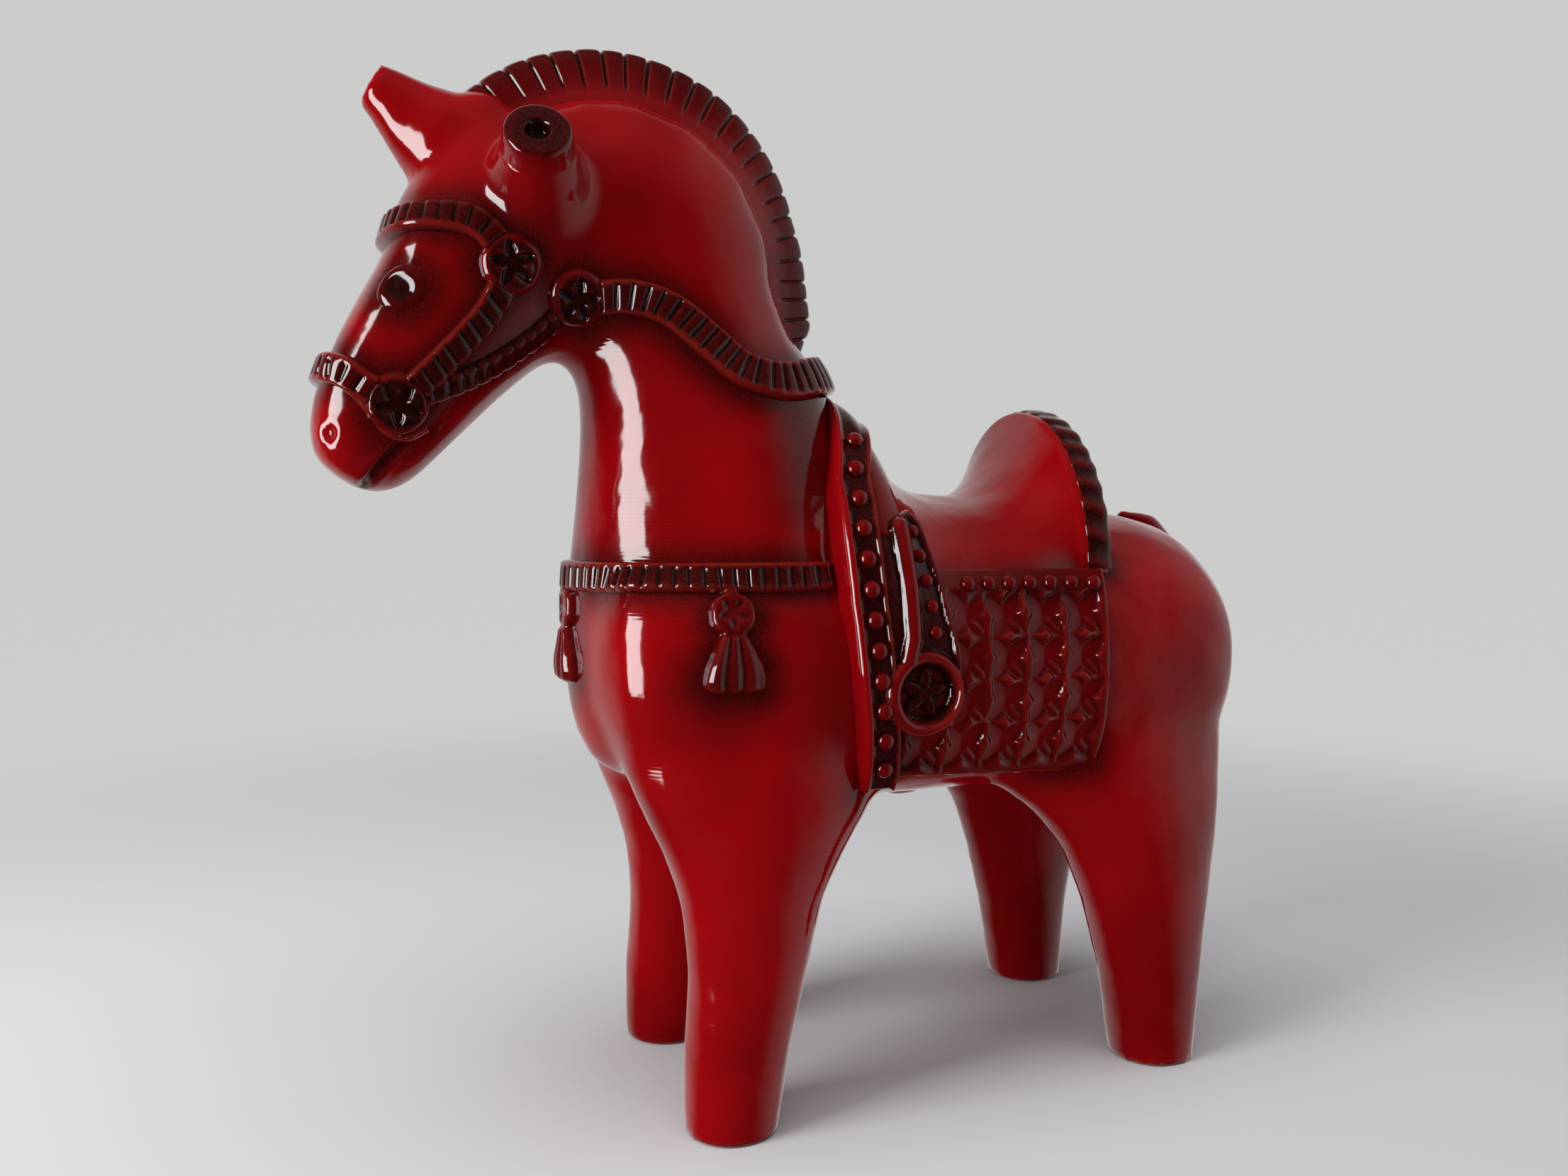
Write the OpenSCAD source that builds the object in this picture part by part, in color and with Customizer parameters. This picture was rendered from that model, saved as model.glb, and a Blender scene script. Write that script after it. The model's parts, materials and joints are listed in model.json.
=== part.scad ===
// Hollow glazed ceramic horse, built up from thrown and cast shells, rolled
// slabs, ribbed strips and pressed sprigs that are luted together with slip.
// Nose towards -X, the horse's left side towards -Y, standing on Z = 0.

/* [Stance] */
// From the middle of the body forward to the centres of the front feet
front_reach = 42.5; // [38:0.5:48]
// From the middle of the body back to the centres of the hind feet
hind_reach = 114; // [108:0.5:120]
// Half the distance between the centres of the front feet
front_stance = 38; // [35:0.5:41]
// Half the distance between the centres of the hind feet
hind_stance = 41; // [38:0.5:44]
// Length of each sole, nose to tail
sole_length = 30; // [26:0.5:32]
// Width of each sole
sole_width = 29; // [26:0.5:32]

/* [Body] */
// Height of the underside of the barrel
belly_height = 94.5; // [91:0.5:99]
// Height of the bare back
back_height = 193; // [188:0.5:197]
// Greatest width of the barrel
body_width = 103; // [96:0.5:110]
// From the middle of the body forward to the chest
chest_reach = 85; // [81:0.5:89]
// From the middle of the body back to the end of the rump
rump_reach = 156.5; // [152:0.5:161]
// Thickness of the fired wall
wall = 6; // [4:0.25:8]
// Thickness of the flat soles
sole_wall = 8; // [5:0.25:12]
// Hole under the belly that lets steam out in the kiln
vent_d = 10; // [6:0.5:14]

/* [Neck and head] */
// Radius of the arched top of the neck, under the mane
crest_r = 53; // [50:0.5:56]
// Height of the centre of that arch above the bare back
crest_height = 77; // [73:0.5:81]
// Width of the neck below the arch
neck_width = 74; // [70:0.5:80]
// Width of the head across the cheeks
head_width = 56; // [52:0.5:62]
// Width of the muzzle
muzzle_width = 33; // [29:0.5:37]
// Diameter of the dimple pressed for each nostril
nostril_d = 6; // [4:0.5:8]
// Width of the mouth's cut
mouth_width = 1.8; // [1.2:0.1:2.5]
// Depth of the nostrils and of the mouth's cut
muzzle_cut = 1.4; // [0.8:0.1:2]
// From the head's mid-plane out to the flat end of each ear
ear_length = 49; // [44:0.5:54]
// Diameter of an ear's flat end
ear_end_d = 19; // [15:0.5:23]
// Diameter of the thumb hole in an ear
ear_hole_d = 8; // [5:0.5:10]
// Height of the mane above the neck
mane_rise = 14; // [10:0.5:17]
// Thickness of the mane
mane_width = 15; // [11:0.5:19]
// Number of cut locks in the mane
lock_count = 23; // [18:1:28]
// Depth of the cuts between the locks
lock_cut = 2.2; // [1:0.1:3]

/* [Bridle and rein] */
// Width of the bridle's straps
strap_width = 8; // [6:0.25:10]
// Height of the straps above the skin
strap_rise = 3; // [2:0.1:4]
// Diameter of the pressed rosettes
rosette_d = 18; // [15:0.5:21]
// Height of the rosettes above the skin
rosette_rise = 4.4; // [4.1:0.1:6]
// Depth of the star pressed into a rosette
star_depth = 1.4; // [0.6:0.1:2]
// Diameter of each eye
eye_d = 11; // [8:0.5:13]
// Height of each eye above the skin
eye_rise = 2; // [1:0.1:3]
// Width of the rein
rein_width = 11; // [9:0.25:13]
// Height of the rein above the neck
rein_rise = 4.5; // [3:0.1:6]
// Width of the breast strap
breast_width = 8.5; // [6:0.25:11]
// Depth of the middle of the breast strap below the bare back
breast_height = 22; // [19:0.5:25]
// Length of the three tassels
tassel_length = 28; // [22:0.5:33]
// Width of a tassel's skirt
tassel_width = 17; // [13:0.5:21]
// Height of the tassels above the skin
tassel_rise = 3.4; // [2:0.1:5]

/* [Saddle] */
// Thickness of the saddle and its cloth on the barrel's sides
saddle_rise = 4; // [3:0.1:6]
// Height of the lowest point of the seat above the bare back
seat_height = 5; // [3:0.5:10]
// Height of the pommel above the bare back
pommel_height = 36; // [31:0.5:41]
// Height of the cantle's top above the bare back
cantle_height = 36; // [29:0.5:41]
// Thickness of the cantle
cantle_thickness = 12; // [9:0.5:15]
// Width of the cantle across its rim
cantle_width = 90; // [84:0.5:96]
// Width of the ribbed rim round the cantle
rim_width = 7; // [5:0.25:9]
// Width of the grooves between the rim's ribs
rim_groove = 1; // [0.6:0.1:1.4]
// Depth of those grooves
rim_groove_depth = 1; // [0.5:0.1:1.5]
// Number of ribs round the rim
rim_ribs = 20; // [12:1:26]
// From the middle of the body back to the cantle's front
cantle_reach = 79; // [76:0.5:83]
// Width of the beaded border down the saddle's front
border_width = 12; // [10:0.25:14]
// Height of that border above the saddle
border_rise = 2.5; // [1.5:0.1:4]
// Height of the cloth's lower edge above the underside of the barrel
cloth_bottom = 10.5; // [7.5:0.5:14.5]
// Depth below the bare back where the cloth meets the seat
cloth_top = 22; // [18:0.5:25]
// From the middle of the body back to the cloth's rear edge
cloth_reach = 84; // [81:0.5:88]
// Diameter of the beads
bead_d = 4.8; // [3.5:0.1:6]
// Number of beads on each side of the border
border_bead_count = 12; // [8:1:13]
// Number of beads along the cloth's top on each side
cloth_bead_count = 7; // [4:1:9]
// Rows of pressed stars on the cloth
star_rows = 4; // [2:1:4]
// Columns of pressed stars on the cloth
star_columns = 5; // [3:1:5]
// Distance between the stars' centres
star_pitch = 14.4; // [13:0.1:15]
// Size of a star from point to point
star_d = 13; // [10:0.5:14]
// Depth of the stars in the cloth
star_press = 1.5; // [0.8:0.1:2]
// Least clay left under a star
star_floor = 1; // [0.6:0.1:1.5]
// Width of the stirrup strap
stirrup_strap_width = 12; // [9:0.5:14]
// Height of the stirrup strap above the saddle
stirrup_rise = 2.4; // [1.5:0.1:4]
// Outer diameter of the stirrup ring
stirrup_ring_d = 26; // [22:0.5:29]
// Width of that ring's raised edge
stirrup_ring_edge = 3; // [2:0.25:5]
// Height of the ring above the saddle
stirrup_ring_rise = 3.6; // [2.6:0.1:5]
// Depth of the dish inside the ring
stirrup_dish = 2; // [1:0.1:2.4]
// Number of beads on each stirrup strap
stirrup_bead_count = 5; // [3:1:5]

/* [Tail] */
// Width of the tail
tail_width = 15; // [11:0.5:19]
// Height of the tail above the rump
tail_rise = 5; // [3:0.5:7]

/* [Hidden] */

LEFT = -1;
RIGHT = 1;
RED = [0.62, 0.02, 0.04];
DARK = [0.22, 0.03, 0.04];
ROOM = 400;
body_half = body_width / 2;
neck_half = neck_width / 2;
head_half = head_width / 2;
muzzle_half = muzzle_width / 2;
mid_height = (belly_height + back_height) / 2;
crest_z = back_height + crest_height;
breast_z = back_height - breast_height;
seat_z = back_height + seat_height;
pommel_z = back_height + pommel_height;
cantle_z = back_height + cantle_height;
cloth_top_z = back_height - cloth_top;
cloth_hem_z = belly_height + cloth_bottom;
cloth_drop = cloth_top_z - cloth_hem_z;
crest = [-69, crest_z];
throat = [-86, crest_z - 31];
saddle_half = body_half + saddle_rise;

function backwards(list) = [for (i = [len(list) - 1 : -1 : 0]) list[i]];

// Smooth run through rows of numbers, steps per gap
function through(p, q, r, s, t) = 0.5 * (2 * q + (r - p) * t + (2 * p - 5 * q + 4 * r - s) * t * t
    + (3 * q - p - 3 * r + s) * t * t * t);
function smooth(rows, steps) = let(last = len(rows) - 1) [
    for (i = [0 : last - 1], k = [0 : steps - 1])
        through(rows[max(i - 1, 0)], rows[i], rows[i + 1], rows[min(i + 2, last)], k / steps),
    rows[last]];

// A point on a circle in the XZ plane
function on_circle(centre, r, angle) = centre + r * [cos(angle), sin(angle)];

// Oval ring between two points of the XZ plane, row = [x1, z1, x2, z2, half width, side shift].
// A fullness below 1 squares up the half at the first point.
function signed_power(v, e) = sign(v) * pow(abs(v), e);
function ring(row, grow, count, fullness = 1) = let(
    a = [row[0], row[1]],
    b = [row[2], row[3]],
    centre = (a + b) / 2,
    reach = norm(b - a) / 2,
    along = (b - a) / (2 * reach))
    [for (i = [0 : count - 1]) let(
        turn = 360 * i / count,
        e = cos(turn) < 0 ? fullness : 1,
        p = centre + along * (reach + grow) * signed_power(cos(turn), e))
        [p.x, row[5] + (row[4] + grow) * signed_power(sin(turn), e), p.y]];

// Closed skin over rings of equal count, turned to face outwards and split alike on the left and right
function middle(ring) = [for (p = ring) 1] * ring / len(ring);
function facing(rings) = let(m = middle(rings[0]), quarter = floor(len(rings[0]) / 4))
    cross(rings[0][0] - m, rings[0][quarter] - m) * (middle(rings[1]) - m);
function turned_out(face, out) = out ? face : backwards(face);
module skin(rings) {
    count = len(rings[0]);
    last = len(rings) - 1;
    out = facing(rings) < 0;
    sides = [for (j = [0 : last - 1], i = [0 : count - 1]) let(
        a = j * count + i,
        b = j * count + (i + 1) % count,
        p = i < count / 2 ? [a, b, b + count] : [a, b, a + count],
        q = i < count / 2 ? [a, b + count, a + count] : [b, b + count, a + count])
        each [turned_out(p, out), turned_out(q, out)]];
    first_cap = turned_out([for (i = [count - 1 : -1 : 0]) i], out);
    last_cap = turned_out([for (i = [0 : count - 1]) last * count + i], out);
    polyhedron([for (r = rings) each r], concat(sides, [first_cap, last_cap]));
}

module loft(rows, grow = 0, count = 24, fullness = 1)
    skin([for (row = rows) ring(row, grow, count, fullness)]);

// Several forms worked into one skin
module one_mesh() resize([0, 0, 0]) children();

// Everything on the horse's left of the mid-plane
module left_half() translate([-ROOM / 2, -ROOM, 0]) cube(ROOM);

// A flat outline of the XZ plane, run right across the horse
module across() rotate([90, 0, 0]) linear_extrude(ROOM, center = true) children();

// A piece made for the left, or its mirror image on the right
module mirrored(side) mirror([0, side == LEFT ? 0 : 1, 0]) children();

// Heights on the barrel are drawn for this depth from back to belly, and follow it when it changes
drawn_barrel = 98.5;
drawn_cloth = 66;
function barrel(d) = d * (back_height - belly_height) / drawn_barrel;
function up_barrel(z) = belly_height + barrel(z);

// The barrel: [distance from its end, rise of belly, fall of back, loss of half width]
chest_rows = [[3, 44, 40, 34], [5, 34, 27, 24], [9, 23, 16, 14], [17, 11, 6, 7], [31, 4, 1, 2.5], [52, 1, 0, 0.5]];
rump_rows = [[57, 0, 0, -0.5], [38, 1, 0.5, -0.5], [22, 4, 4, 1], [11, 10, 12, 7], [4, 20, 24, 17],
    [1, 30, 35, 28], [0, 40, 44, 41]];
torso_rows = concat(
    [for (r = chest_rows) let(x = r[0] - chest_reach)
        [x, up_barrel(r[1]), x, back_height - barrel(r[2]), body_half - r[3], 0]],
    [[15, belly_height, 15, back_height, body_half, 0]],
    [for (r = rump_rows) let(x = rump_reach - r[0])
        [x, up_barrel(r[1]), x, back_height - barrel(r[2]), body_half - r[3], 0]]);
belly_fullness = 0.72;
module torso_form(grow = 0) loft(torso_rows, grow, 24, belly_fullness);

// The neck: from the chest up to the arch, then fanned round the throat
arch_angles = [14, 38, 62, 86, 106, 118];
neck_rows = concat([
    [9 - chest_reach, up_barrel(13.5), 20, up_barrel(23.5), neck_half + 1, 0],
    [2 - chest_reach, up_barrel(27.5), 26, up_barrel(39.5), neck_half + 6, 0],
    [-0.5 - chest_reach, up_barrel(42.5), 30, up_barrel(55.5), neck_half + 8, 0],
    [-chest_reach, up_barrel(60.5), 28, up_barrel(73.5), neck_half + 7.5, 0],
    [0.5 - chest_reach, up_barrel(76.5), 22, up_barrel(89.5), neck_half + 6, 0],
    [2.5 - chest_reach, up_barrel(92.5), 14, up_barrel(105.5), neck_half + 3.5, 0],
    [throat.x + 5, throat.y - 36, 7, crest.y - 51, neck_half, 0],
    [throat.x + 6, throat.y - 19, 1, crest.y - 33, neck_half - 3.5, 0],
    [throat.x + 5, throat.y - 8.5, crest.x + crest_r + 6, crest.y - 20, neck_half - 5.5, 0],
    [throat.x + 3, throat.y - 3, crest.x + crest_r + 0.5, crest.y - 5, neck_half - 7, 0]],
    [for (i = [0 : 5]) let(b = on_circle(crest, crest_r, arch_angles[i]))
        [throat.x + 1.5 - 0.8 * i, throat.y - 1 + 0.5 * i, b.x, b.y, i < 5 ? neck_half - 8 : head_half, 0]]);
module neck_form(grow = 0) loft(neck_rows, grow);

// The head: [jaw x, jaw z, top x, top z] from the poll down to the lips
head_rows = concat([neck_rows[len(neck_rows) - 1]], [
    [throat.x - 7, throat.y - 2, -113, crest.y + 42, head_half + 0.8, 0],
    [throat.x - 11.5, throat.y - 5.5, -128, crest.y + 27, head_half + 0.5, 0],
    [throat.x - 17, throat.y - 10, -136, crest.y + 13, head_half - 1, 0],
    [throat.x - 23.5, throat.y - 16, -140, crest.y - 2, head_half - 3, 0],
    [throat.x - 31, throat.y - 23.5, -147, crest.y - 15, (head_half + muzzle_half) / 2, 0],
    [throat.x - 38.5, throat.y - 31, -152.5, crest.y - 25.5, muzzle_half + 2.5, 0],
    [throat.x - 44.5, throat.y - 37, -157, crest.y - 36, muzzle_half + 0.8, 0],
    [throat.x - 50, throat.y - 41, -160, crest.y - 45, muzzle_half, 0],
    [throat.x - 56, throat.y - 42.5, -161.5, crest.y - 53.5, muzzle_half - 1, 0],
    [throat.x - 62, throat.y - 41.5, -161, crest.y - 60.5, muzzle_half - 4.5, 0],
    [throat.x - 67, throat.y - 38, -158.5, crest.y - 64.5, muzzle_half - 10, 0]]);
module head_form(grow = 0) loft(head_rows, grow);

// The legs: [height, forward shift, gain in half length, inward shift, gain in half width]
front_leg_rows = [[0, 0, -1, 0, -1], [1.5, 0, 0, 0, 0], [26, 2, 2, 0, 1], [50, 6, 4.5, 1, 2],
    [70, 8, 8, 3, 4], [86, 10.5, 15.5, 6, 7], [97, 13, 23, 10, 10], [112, 13, 29, 13, 12], [128, 12, 28, 15, 11]];
hind_leg_rows = [[0, 0, -1, 0, -1], [1.5, 0, 0, 0, 0], [30, -1, 4, 0, 1], [56, -2.5, 9.5, 1, 2.5],
    [76, -4, 16, 3, 3.5], [89, -7.5, 23.5, 6, 5], [97, -11.5, 30, 9, 6], [112, -12, 34, 13, 8.5], [128, -12, 33, 15, 8]];
// Their heights are drawn for this belly, and follow it when it moves
drawn_belly = 94.5;
function leg_height(z) = z < 2 ? z : z * belly_height / drawn_belly;
function leg_rows(reach, rows, stance, side) = [for (r = rows) let(
    x = reach + r[1],
    h = sole_length / 2 + r[2],
    z = leg_height(r[0]))
    [x - h, z, x + h, z, sole_width / 2 + r[4], side * (stance - r[3])]];
module leg_form(front, side, grow = 0) loft(front
    ? leg_rows(-front_reach, front_leg_rows, front_stance, side)
    : leg_rows(hind_reach, hind_leg_rows, hind_stance, side), grow, 20);
module legs_form(grow = 0) for (front = [true, false], side = [LEFT, RIGHT]) leg_form(front, side, grow);

// The whole bare body, which carries the tack
module body_form(grow = 0) {
    torso_form(grow);
    neck_form(grow);
    legs_form(grow);
}

// The hollow inside, one wall in from the skin, running through the seams
function inner(rows, from, to) = [for (i = [from : to]) rows[i]];
last_neck_row = len(neck_rows) - 2;
module neck_cavity() loft(concat(inner(neck_rows, 2, last_neck_row), [head_rows[1]]), -wall, 14);
module torso_cavity() loft(inner(torso_rows, 2, len(torso_rows) - 4), -wall, 14, belly_fullness);
module leg_cavity(front, side) intersection() {
    loft(front ? leg_rows(-front_reach, front_leg_rows, front_stance, side)
        : leg_rows(hind_reach, hind_leg_rows, hind_stance, side), -wall, 12);
    translate([-ROOM / 2, -ROOM / 2, sole_wall]) cube(ROOM);
}
module head_cavity() loft(concat([neck_rows[last_neck_row]], inner(head_rows, 1, 7)), -wall, 14);

// The seams where the shells are luted together
module below(z) translate([-ROOM, -ROOM, z - 2 * ROOM]) cube(2 * ROOM);
module above(z) translate([-ROOM, -ROOM, z]) cube(2 * ROOM);
leg_seam = belly_height;
neck_seam = breast_z;

module torso() color(RED) one_mesh() difference() {
    union() {
        torso_form();
        intersection() {
            neck_form();
            below(neck_seam);
        }
        intersection() {
            legs_form();
            above(leg_seam);
        }
    }
    torso_cavity();
    neck_cavity();
    for (front = [true, false], side = [LEFT, RIGHT]) leg_cavity(front, side);
    translate([35, 0, belly_height - wall]) cylinder(d = vent_d, h = 4 * wall, $fn = 24);
}

module neck() color(RED) one_mesh() difference() {
    intersection() {
        neck_form();
        above(neck_seam);
    }
    torso_form();
    neck_cavity();
    torso_cavity();
}

// Nostrils and mouth, pressed into the sides of the muzzle
nostril_spot = [-155.7, crest_z - 56.7];
mouth_path = [[-136, crest_z - 58.5], [-139.2, crest_z - 62.3], [-143, crest_z - 67], [-149, crest_z - 75]];
module muzzle_marks() difference() {
    across() {
        translate(nostril_spot) circle(d = nostril_d, $fn = 20);
        strip(mouth_path, mouth_width);
    }
    head_form(-muzzle_cut);
}

module head() color(RED) one_mesh() difference() {
    head_form();
    head_cavity();
    muzzle_marks();
}

module leg(front, side) color(RED) one_mesh() mirrored(side) difference() {
    intersection() {
        leg_form(front, LEFT);
        below(leg_seam);
    }
    leg_cavity(front, LEFT);
}

// Forelock: flared stub with a flat end, standing forward from the poll
forelock_rows = [[-145.6, crest_z + 42.4, -139, crest_z + 54, 6.5, 0],
    [-142, crest_z + 37.5, -133.5, crest_z + 52.5, 7.5, 0],
    [-137.5, crest_z + 30, -126, crest_z + 50, 9.5, 0],
    [-131.5, crest_z + 20.5, -116, crest_z + 48, 14, 0],
    [-122, crest_z + 14, -103, crest_z + 43, 17, 0]];
module forelock_form() loft(forelock_rows, 0, 20);
module forelock() color(RED) one_mesh() difference() {
    forelock_form();
    head_form();
    neck_form();
}

// Ears: flared cones out to the sides, with a thumb hole in the flat end
ear_root = [-93, 0, crest_z + 4.5];
ear_lift = 27;
ear_sweep = 9.5;
ear_profile = [[0, 12], [19, 12], [18.6, 20], [17, 26], [15, 31], [12.9, 36], [ear_end_d / 2 + 1.2, ear_length - 7],
    [ear_end_d / 2 + 0.2, ear_length - 1.5], [ear_end_d / 2 - 1, ear_length], [ear_hole_d / 2, ear_length],
    [ear_hole_d / 2 - 0.8, ear_length - 3.5], [0, ear_length - 4]];
module ear(side) color(RED) one_mesh() mirrored(side) difference() {
    translate(ear_root) rotate([0, 90 - ear_lift, -90 - ear_sweep])
        rotate_extrude($fn = 28) polygon(ear_profile);
    head_form();
    neck_form();
    mane_form();
    forelock_form();
}

// Mane: a comb along the arch with a straight end down the nape, cut into locks
mane_front = 134;
mane_drop = 24;
mane_out = crest_r + mane_rise;
mane_arc = mane_out * mane_front * PI / 180;
mane_length = mane_arc + mane_drop;
function mane_angle(s) = max(s - mane_drop, 0) / mane_arc * mane_front;
function mane_foot(s) = crest + max(mane_drop - s, 0) * [0.13, -1];
function mane_point(s, r, y) = let(
    a = mane_angle(s),
    p = mane_foot(s) + r * [cos(a), sin(a)])
    [p.x, y, p.y];
// The mane is lower down the nape than over the poll
function mane_share(s) = lookup(mane_angle(s), [[0, 0.85], [17, 0.72], [40, 0.88], [60, 1], [mane_front, 1]]);
function mane_ring(s, cut) = let(w = mane_width / 2 - cut / 2, rise = mane_rise * mane_share(s), r = crest_r + rise - cut) [
    mane_point(s, crest_r - 8, -w),
    mane_point(s, crest_r + rise * 0.6, -w),
    mane_point(s, r - 1.2, -w * 0.72),
    mane_point(s, r, -w * 0.3),
    mane_point(s, r, w * 0.3),
    mane_point(s, r - 1.2, w * 0.72),
    mane_point(s, crest_r + rise * 0.6, w),
    mane_point(s, crest_r - 8, w)];
lock_length = mane_length / lock_count;
module mane_form() skin([for (i = [0 : lock_count - 1], k = [[0, 1], [0.16, 0], [0.84, 0]])
    mane_ring((i + k[0]) * lock_length, k[1] * lock_cut), mane_ring(mane_length, lock_cut)]);
module mane() color(DARK) one_mesh() difference() {
    mane_form();
    neck_form();
    head_form();
    forelock_form();
}

// Tail: a rolled strip laid down the rump from the dock
tail_rows = [[rump_reach - 34, up_barrel(82.5), rump_reach - 28, up_barrel(99), 0.4],
    [rump_reach - 22, up_barrel(81.5), rump_reach - 13, up_barrel(96) + tail_rise * 0.2, 1],
    [rump_reach - 12, up_barrel(74.5), rump_reach - 3 + tail_rise * 0.3, up_barrel(83.5) + tail_rise * 0.4, 1],
    [rump_reach - 8, up_barrel(58.5), rump_reach + tail_rise * 0.8, up_barrel(60.5), 0.95],
    [rump_reach - 9, up_barrel(36.5), rump_reach + tail_rise, up_barrel(36.5), 0.9],
    [rump_reach - 14, up_barrel(16.5), rump_reach - 3 + tail_rise * 0.7, up_barrel(12.5), 0.7],
    [rump_reach - 16, up_barrel(9), rump_reach - 8, up_barrel(2), 0.3]];
module tail() color(RED) one_mesh() difference() {
    loft([for (r = tail_rows) [r[0], r[1], r[2], r[3], r[4] * tail_width / 2, 0]], 0, 16);
    torso_form();
}

// A flat strip of even width along a path of the XZ plane
function step_at(path, i) = path[min(i + 1, len(path) - 1)] - path[max(i - 1, 0)];
function turned(v) = [-v.y, v.x] / norm(v);
function edge(path, d) = [for (i = [0 : len(path) - 1]) path[i] + d * turned(step_at(path, i))];
module strip(path, width) polygon(concat(edge(path, width / 2), backwards(edge(path, -width / 2))));

// Length of a path, and the point and direction a distance along it
function run_length(path, i = 0) = i >= len(path) - 1 ? 0 : norm(path[i + 1] - path[i]) + run_length(path, i + 1);
function along(path, s, i = 0) = let(d = norm(path[i + 1] - path[i]))
    s <= d || i >= len(path) - 2 ? [path[i] + (path[i + 1] - path[i]) * s / d, path[i + 1] - path[i]]
        : along(path, s - d, i + 1);

// Skin of the head and neck together, which carries the bridle
module bridle_form(grow = 0) {
    head_form(grow);
    neck_form(grow);
}

// A strap of the bridle or rein, seated on that skin between the rosettes
module strap(path, width, rise) difference() {
    intersection() {
        bridle_form(rise);
        across() strip(path, width);
    }
    bridle_form();
    for (spot = rosette_spots) across() translate(spot) circle(d = rosette_d, $fn = 28);
}

// Rosettes: pressed discs with a star, where the straps cross
brow_spot = [-105.5, crest_z - 7.5];
jaw_spot = [-85.5, crest_z - 15];
bit_spot = [-137, crest_z - 48];
rosette_spots = [brow_spot, jaw_spot, bit_spot];
module star(points, d, waist) polygon([for (i = [0 : 2 * points - 1])
    (i % 2 == 0 ? d / 2 : d * waist / 2) * [cos(180 * i / points + 90), sin(180 * i / points + 90)]]);
module rosette(spot, side) color(DARK) one_mesh() mirrored(side) difference() {
    intersection() {
        bridle_form(rosette_rise);
        across() translate(spot) circle(d = rosette_d, $fn = 28);
        left_half();
    }
    bridle_form();
    difference() {
        across() translate(spot) star(5, rosette_d - 4, 0.42);
        bridle_form(rosette_rise - star_depth);
    }
}

eye_spot = [-136, crest_z - 15.5];
module eye(side) color(DARK) one_mesh() mirrored(side) difference() {
    intersection() {
        head_form(eye_rise);
        across() translate(eye_spot) circle(d = eye_d, $fn = 24);
        left_half();
    }
    head_form();
}

// Paths of the straps, in side view
brow_path = smooth([brow_spot, [-114, crest_z + 2.5], [-126, crest_z + 5], [-146, crest_z + 4]], 3);
nose_path = smooth([bit_spot, [-146, crest_z - 43], [-153, crest_z - 38.5], [-166, crest_z - 36]], 3);
cheek_path = smooth([brow_spot, [-112, crest_z - 21], [-124, crest_z - 35], bit_spot], 3);
jaw_path = smooth([jaw_spot, [-99, crest_z - 27.5], [-116, crest_z - 39], bit_spot], 3);
rein_path = smooth([jaw_spot, [-70, crest_z - 14], [-58, crest_z - 18], [-47, crest_z - 27],
    [-36, crest_z - 35.5], [-22, crest_z - 38], [-8, crest_z - 35], [14, crest_z - 30]], 3);
module browband() color(DARK) one_mesh() strap(brow_path, strap_width, strap_rise);
module noseband() color(DARK) one_mesh() strap(nose_path, strap_width, strap_rise);
module left_strap(path, width, rise) intersection() {
    strap(path, width, rise);
    left_half();
}
module cheek_strap(side) color(DARK) one_mesh() mirrored(side) difference() {
    left_strap(cheek_path, strap_width, strap_rise);
    across() strip(brow_path, strap_width);
    across() strip(nose_path, strap_width);
}
module jaw_strap(side) color(DARK) one_mesh() mirrored(side) difference() {
    left_strap(jaw_path, strap_width, strap_rise);
    across() strip(cheek_path, strap_width);
    across() strip(nose_path, strap_width);
}
module rein(side) color(DARK) one_mesh() mirrored(side) difference() {
    left_strap(rein_path, rein_width, rein_rise);
    mane_form();
}

// Breast strap round the chest, whose ends meet the saddle's front border
function down_cloth(z) = cloth_top_z - z * cloth_drop / drawn_cloth;
border_path = smooth([[9, pommel_z + 5], [2, pommel_z - 12], [-3, pommel_z - 28], [-3.5, cloth_top_z + 11],
    [-3, down_cloth(8)], [-1, down_cloth(27)], [1.5, down_cloth(48)], [4, cloth_hem_z - 0.5]], 2);
module breast_strap() color(DARK) one_mesh() difference() {
    intersection() {
        body_form(strap_rise);
        translate([-ROOM, -ROOM / 2, breast_z - breast_width / 2]) cube([ROOM, ROOM, breast_width]);
        across() polygon(concat([[-ROOM, ROOM], [-ROOM, 0]], backwards(edge(border_path, -border_width / 2))));
    }
    body_form();
}

// Tassels under the breast strap: a round knot over a spread skirt
tassel_top = breast_z - breast_width / 2;
side_tassel_x = -45;
knot = [[3.2, 0], [5.1, -2.4], [5.6, -5], [5, -7.8], [3.5, -10.5]];
skirt = [[3.7, -12], [tassel_width / 2, -tassel_length + 2.5], [tassel_width / 4, -tassel_length]];
tassel_edge = concat(knot, skirt);
module tassel_outline() polygon(concat(tassel_edge, backwards([for (p = tassel_edge) [-p.x, p.y]])));
module centre_tassel() color(DARK) one_mesh() difference() {
    intersection() {
        body_form(tassel_rise);
        translate([-ROOM / 2, 0, tassel_top]) rotate([90, 0, 90]) linear_extrude(ROOM / 2) tassel_outline();
    }
    body_form();
}
module side_tassel(side) color(DARK) one_mesh() mirrored(side) difference() {
    intersection() {
        body_form(tassel_rise);
        across() translate([side_tassel_x, tassel_top]) tassel_outline();
        left_half();
    }
    body_form();
}

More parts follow.
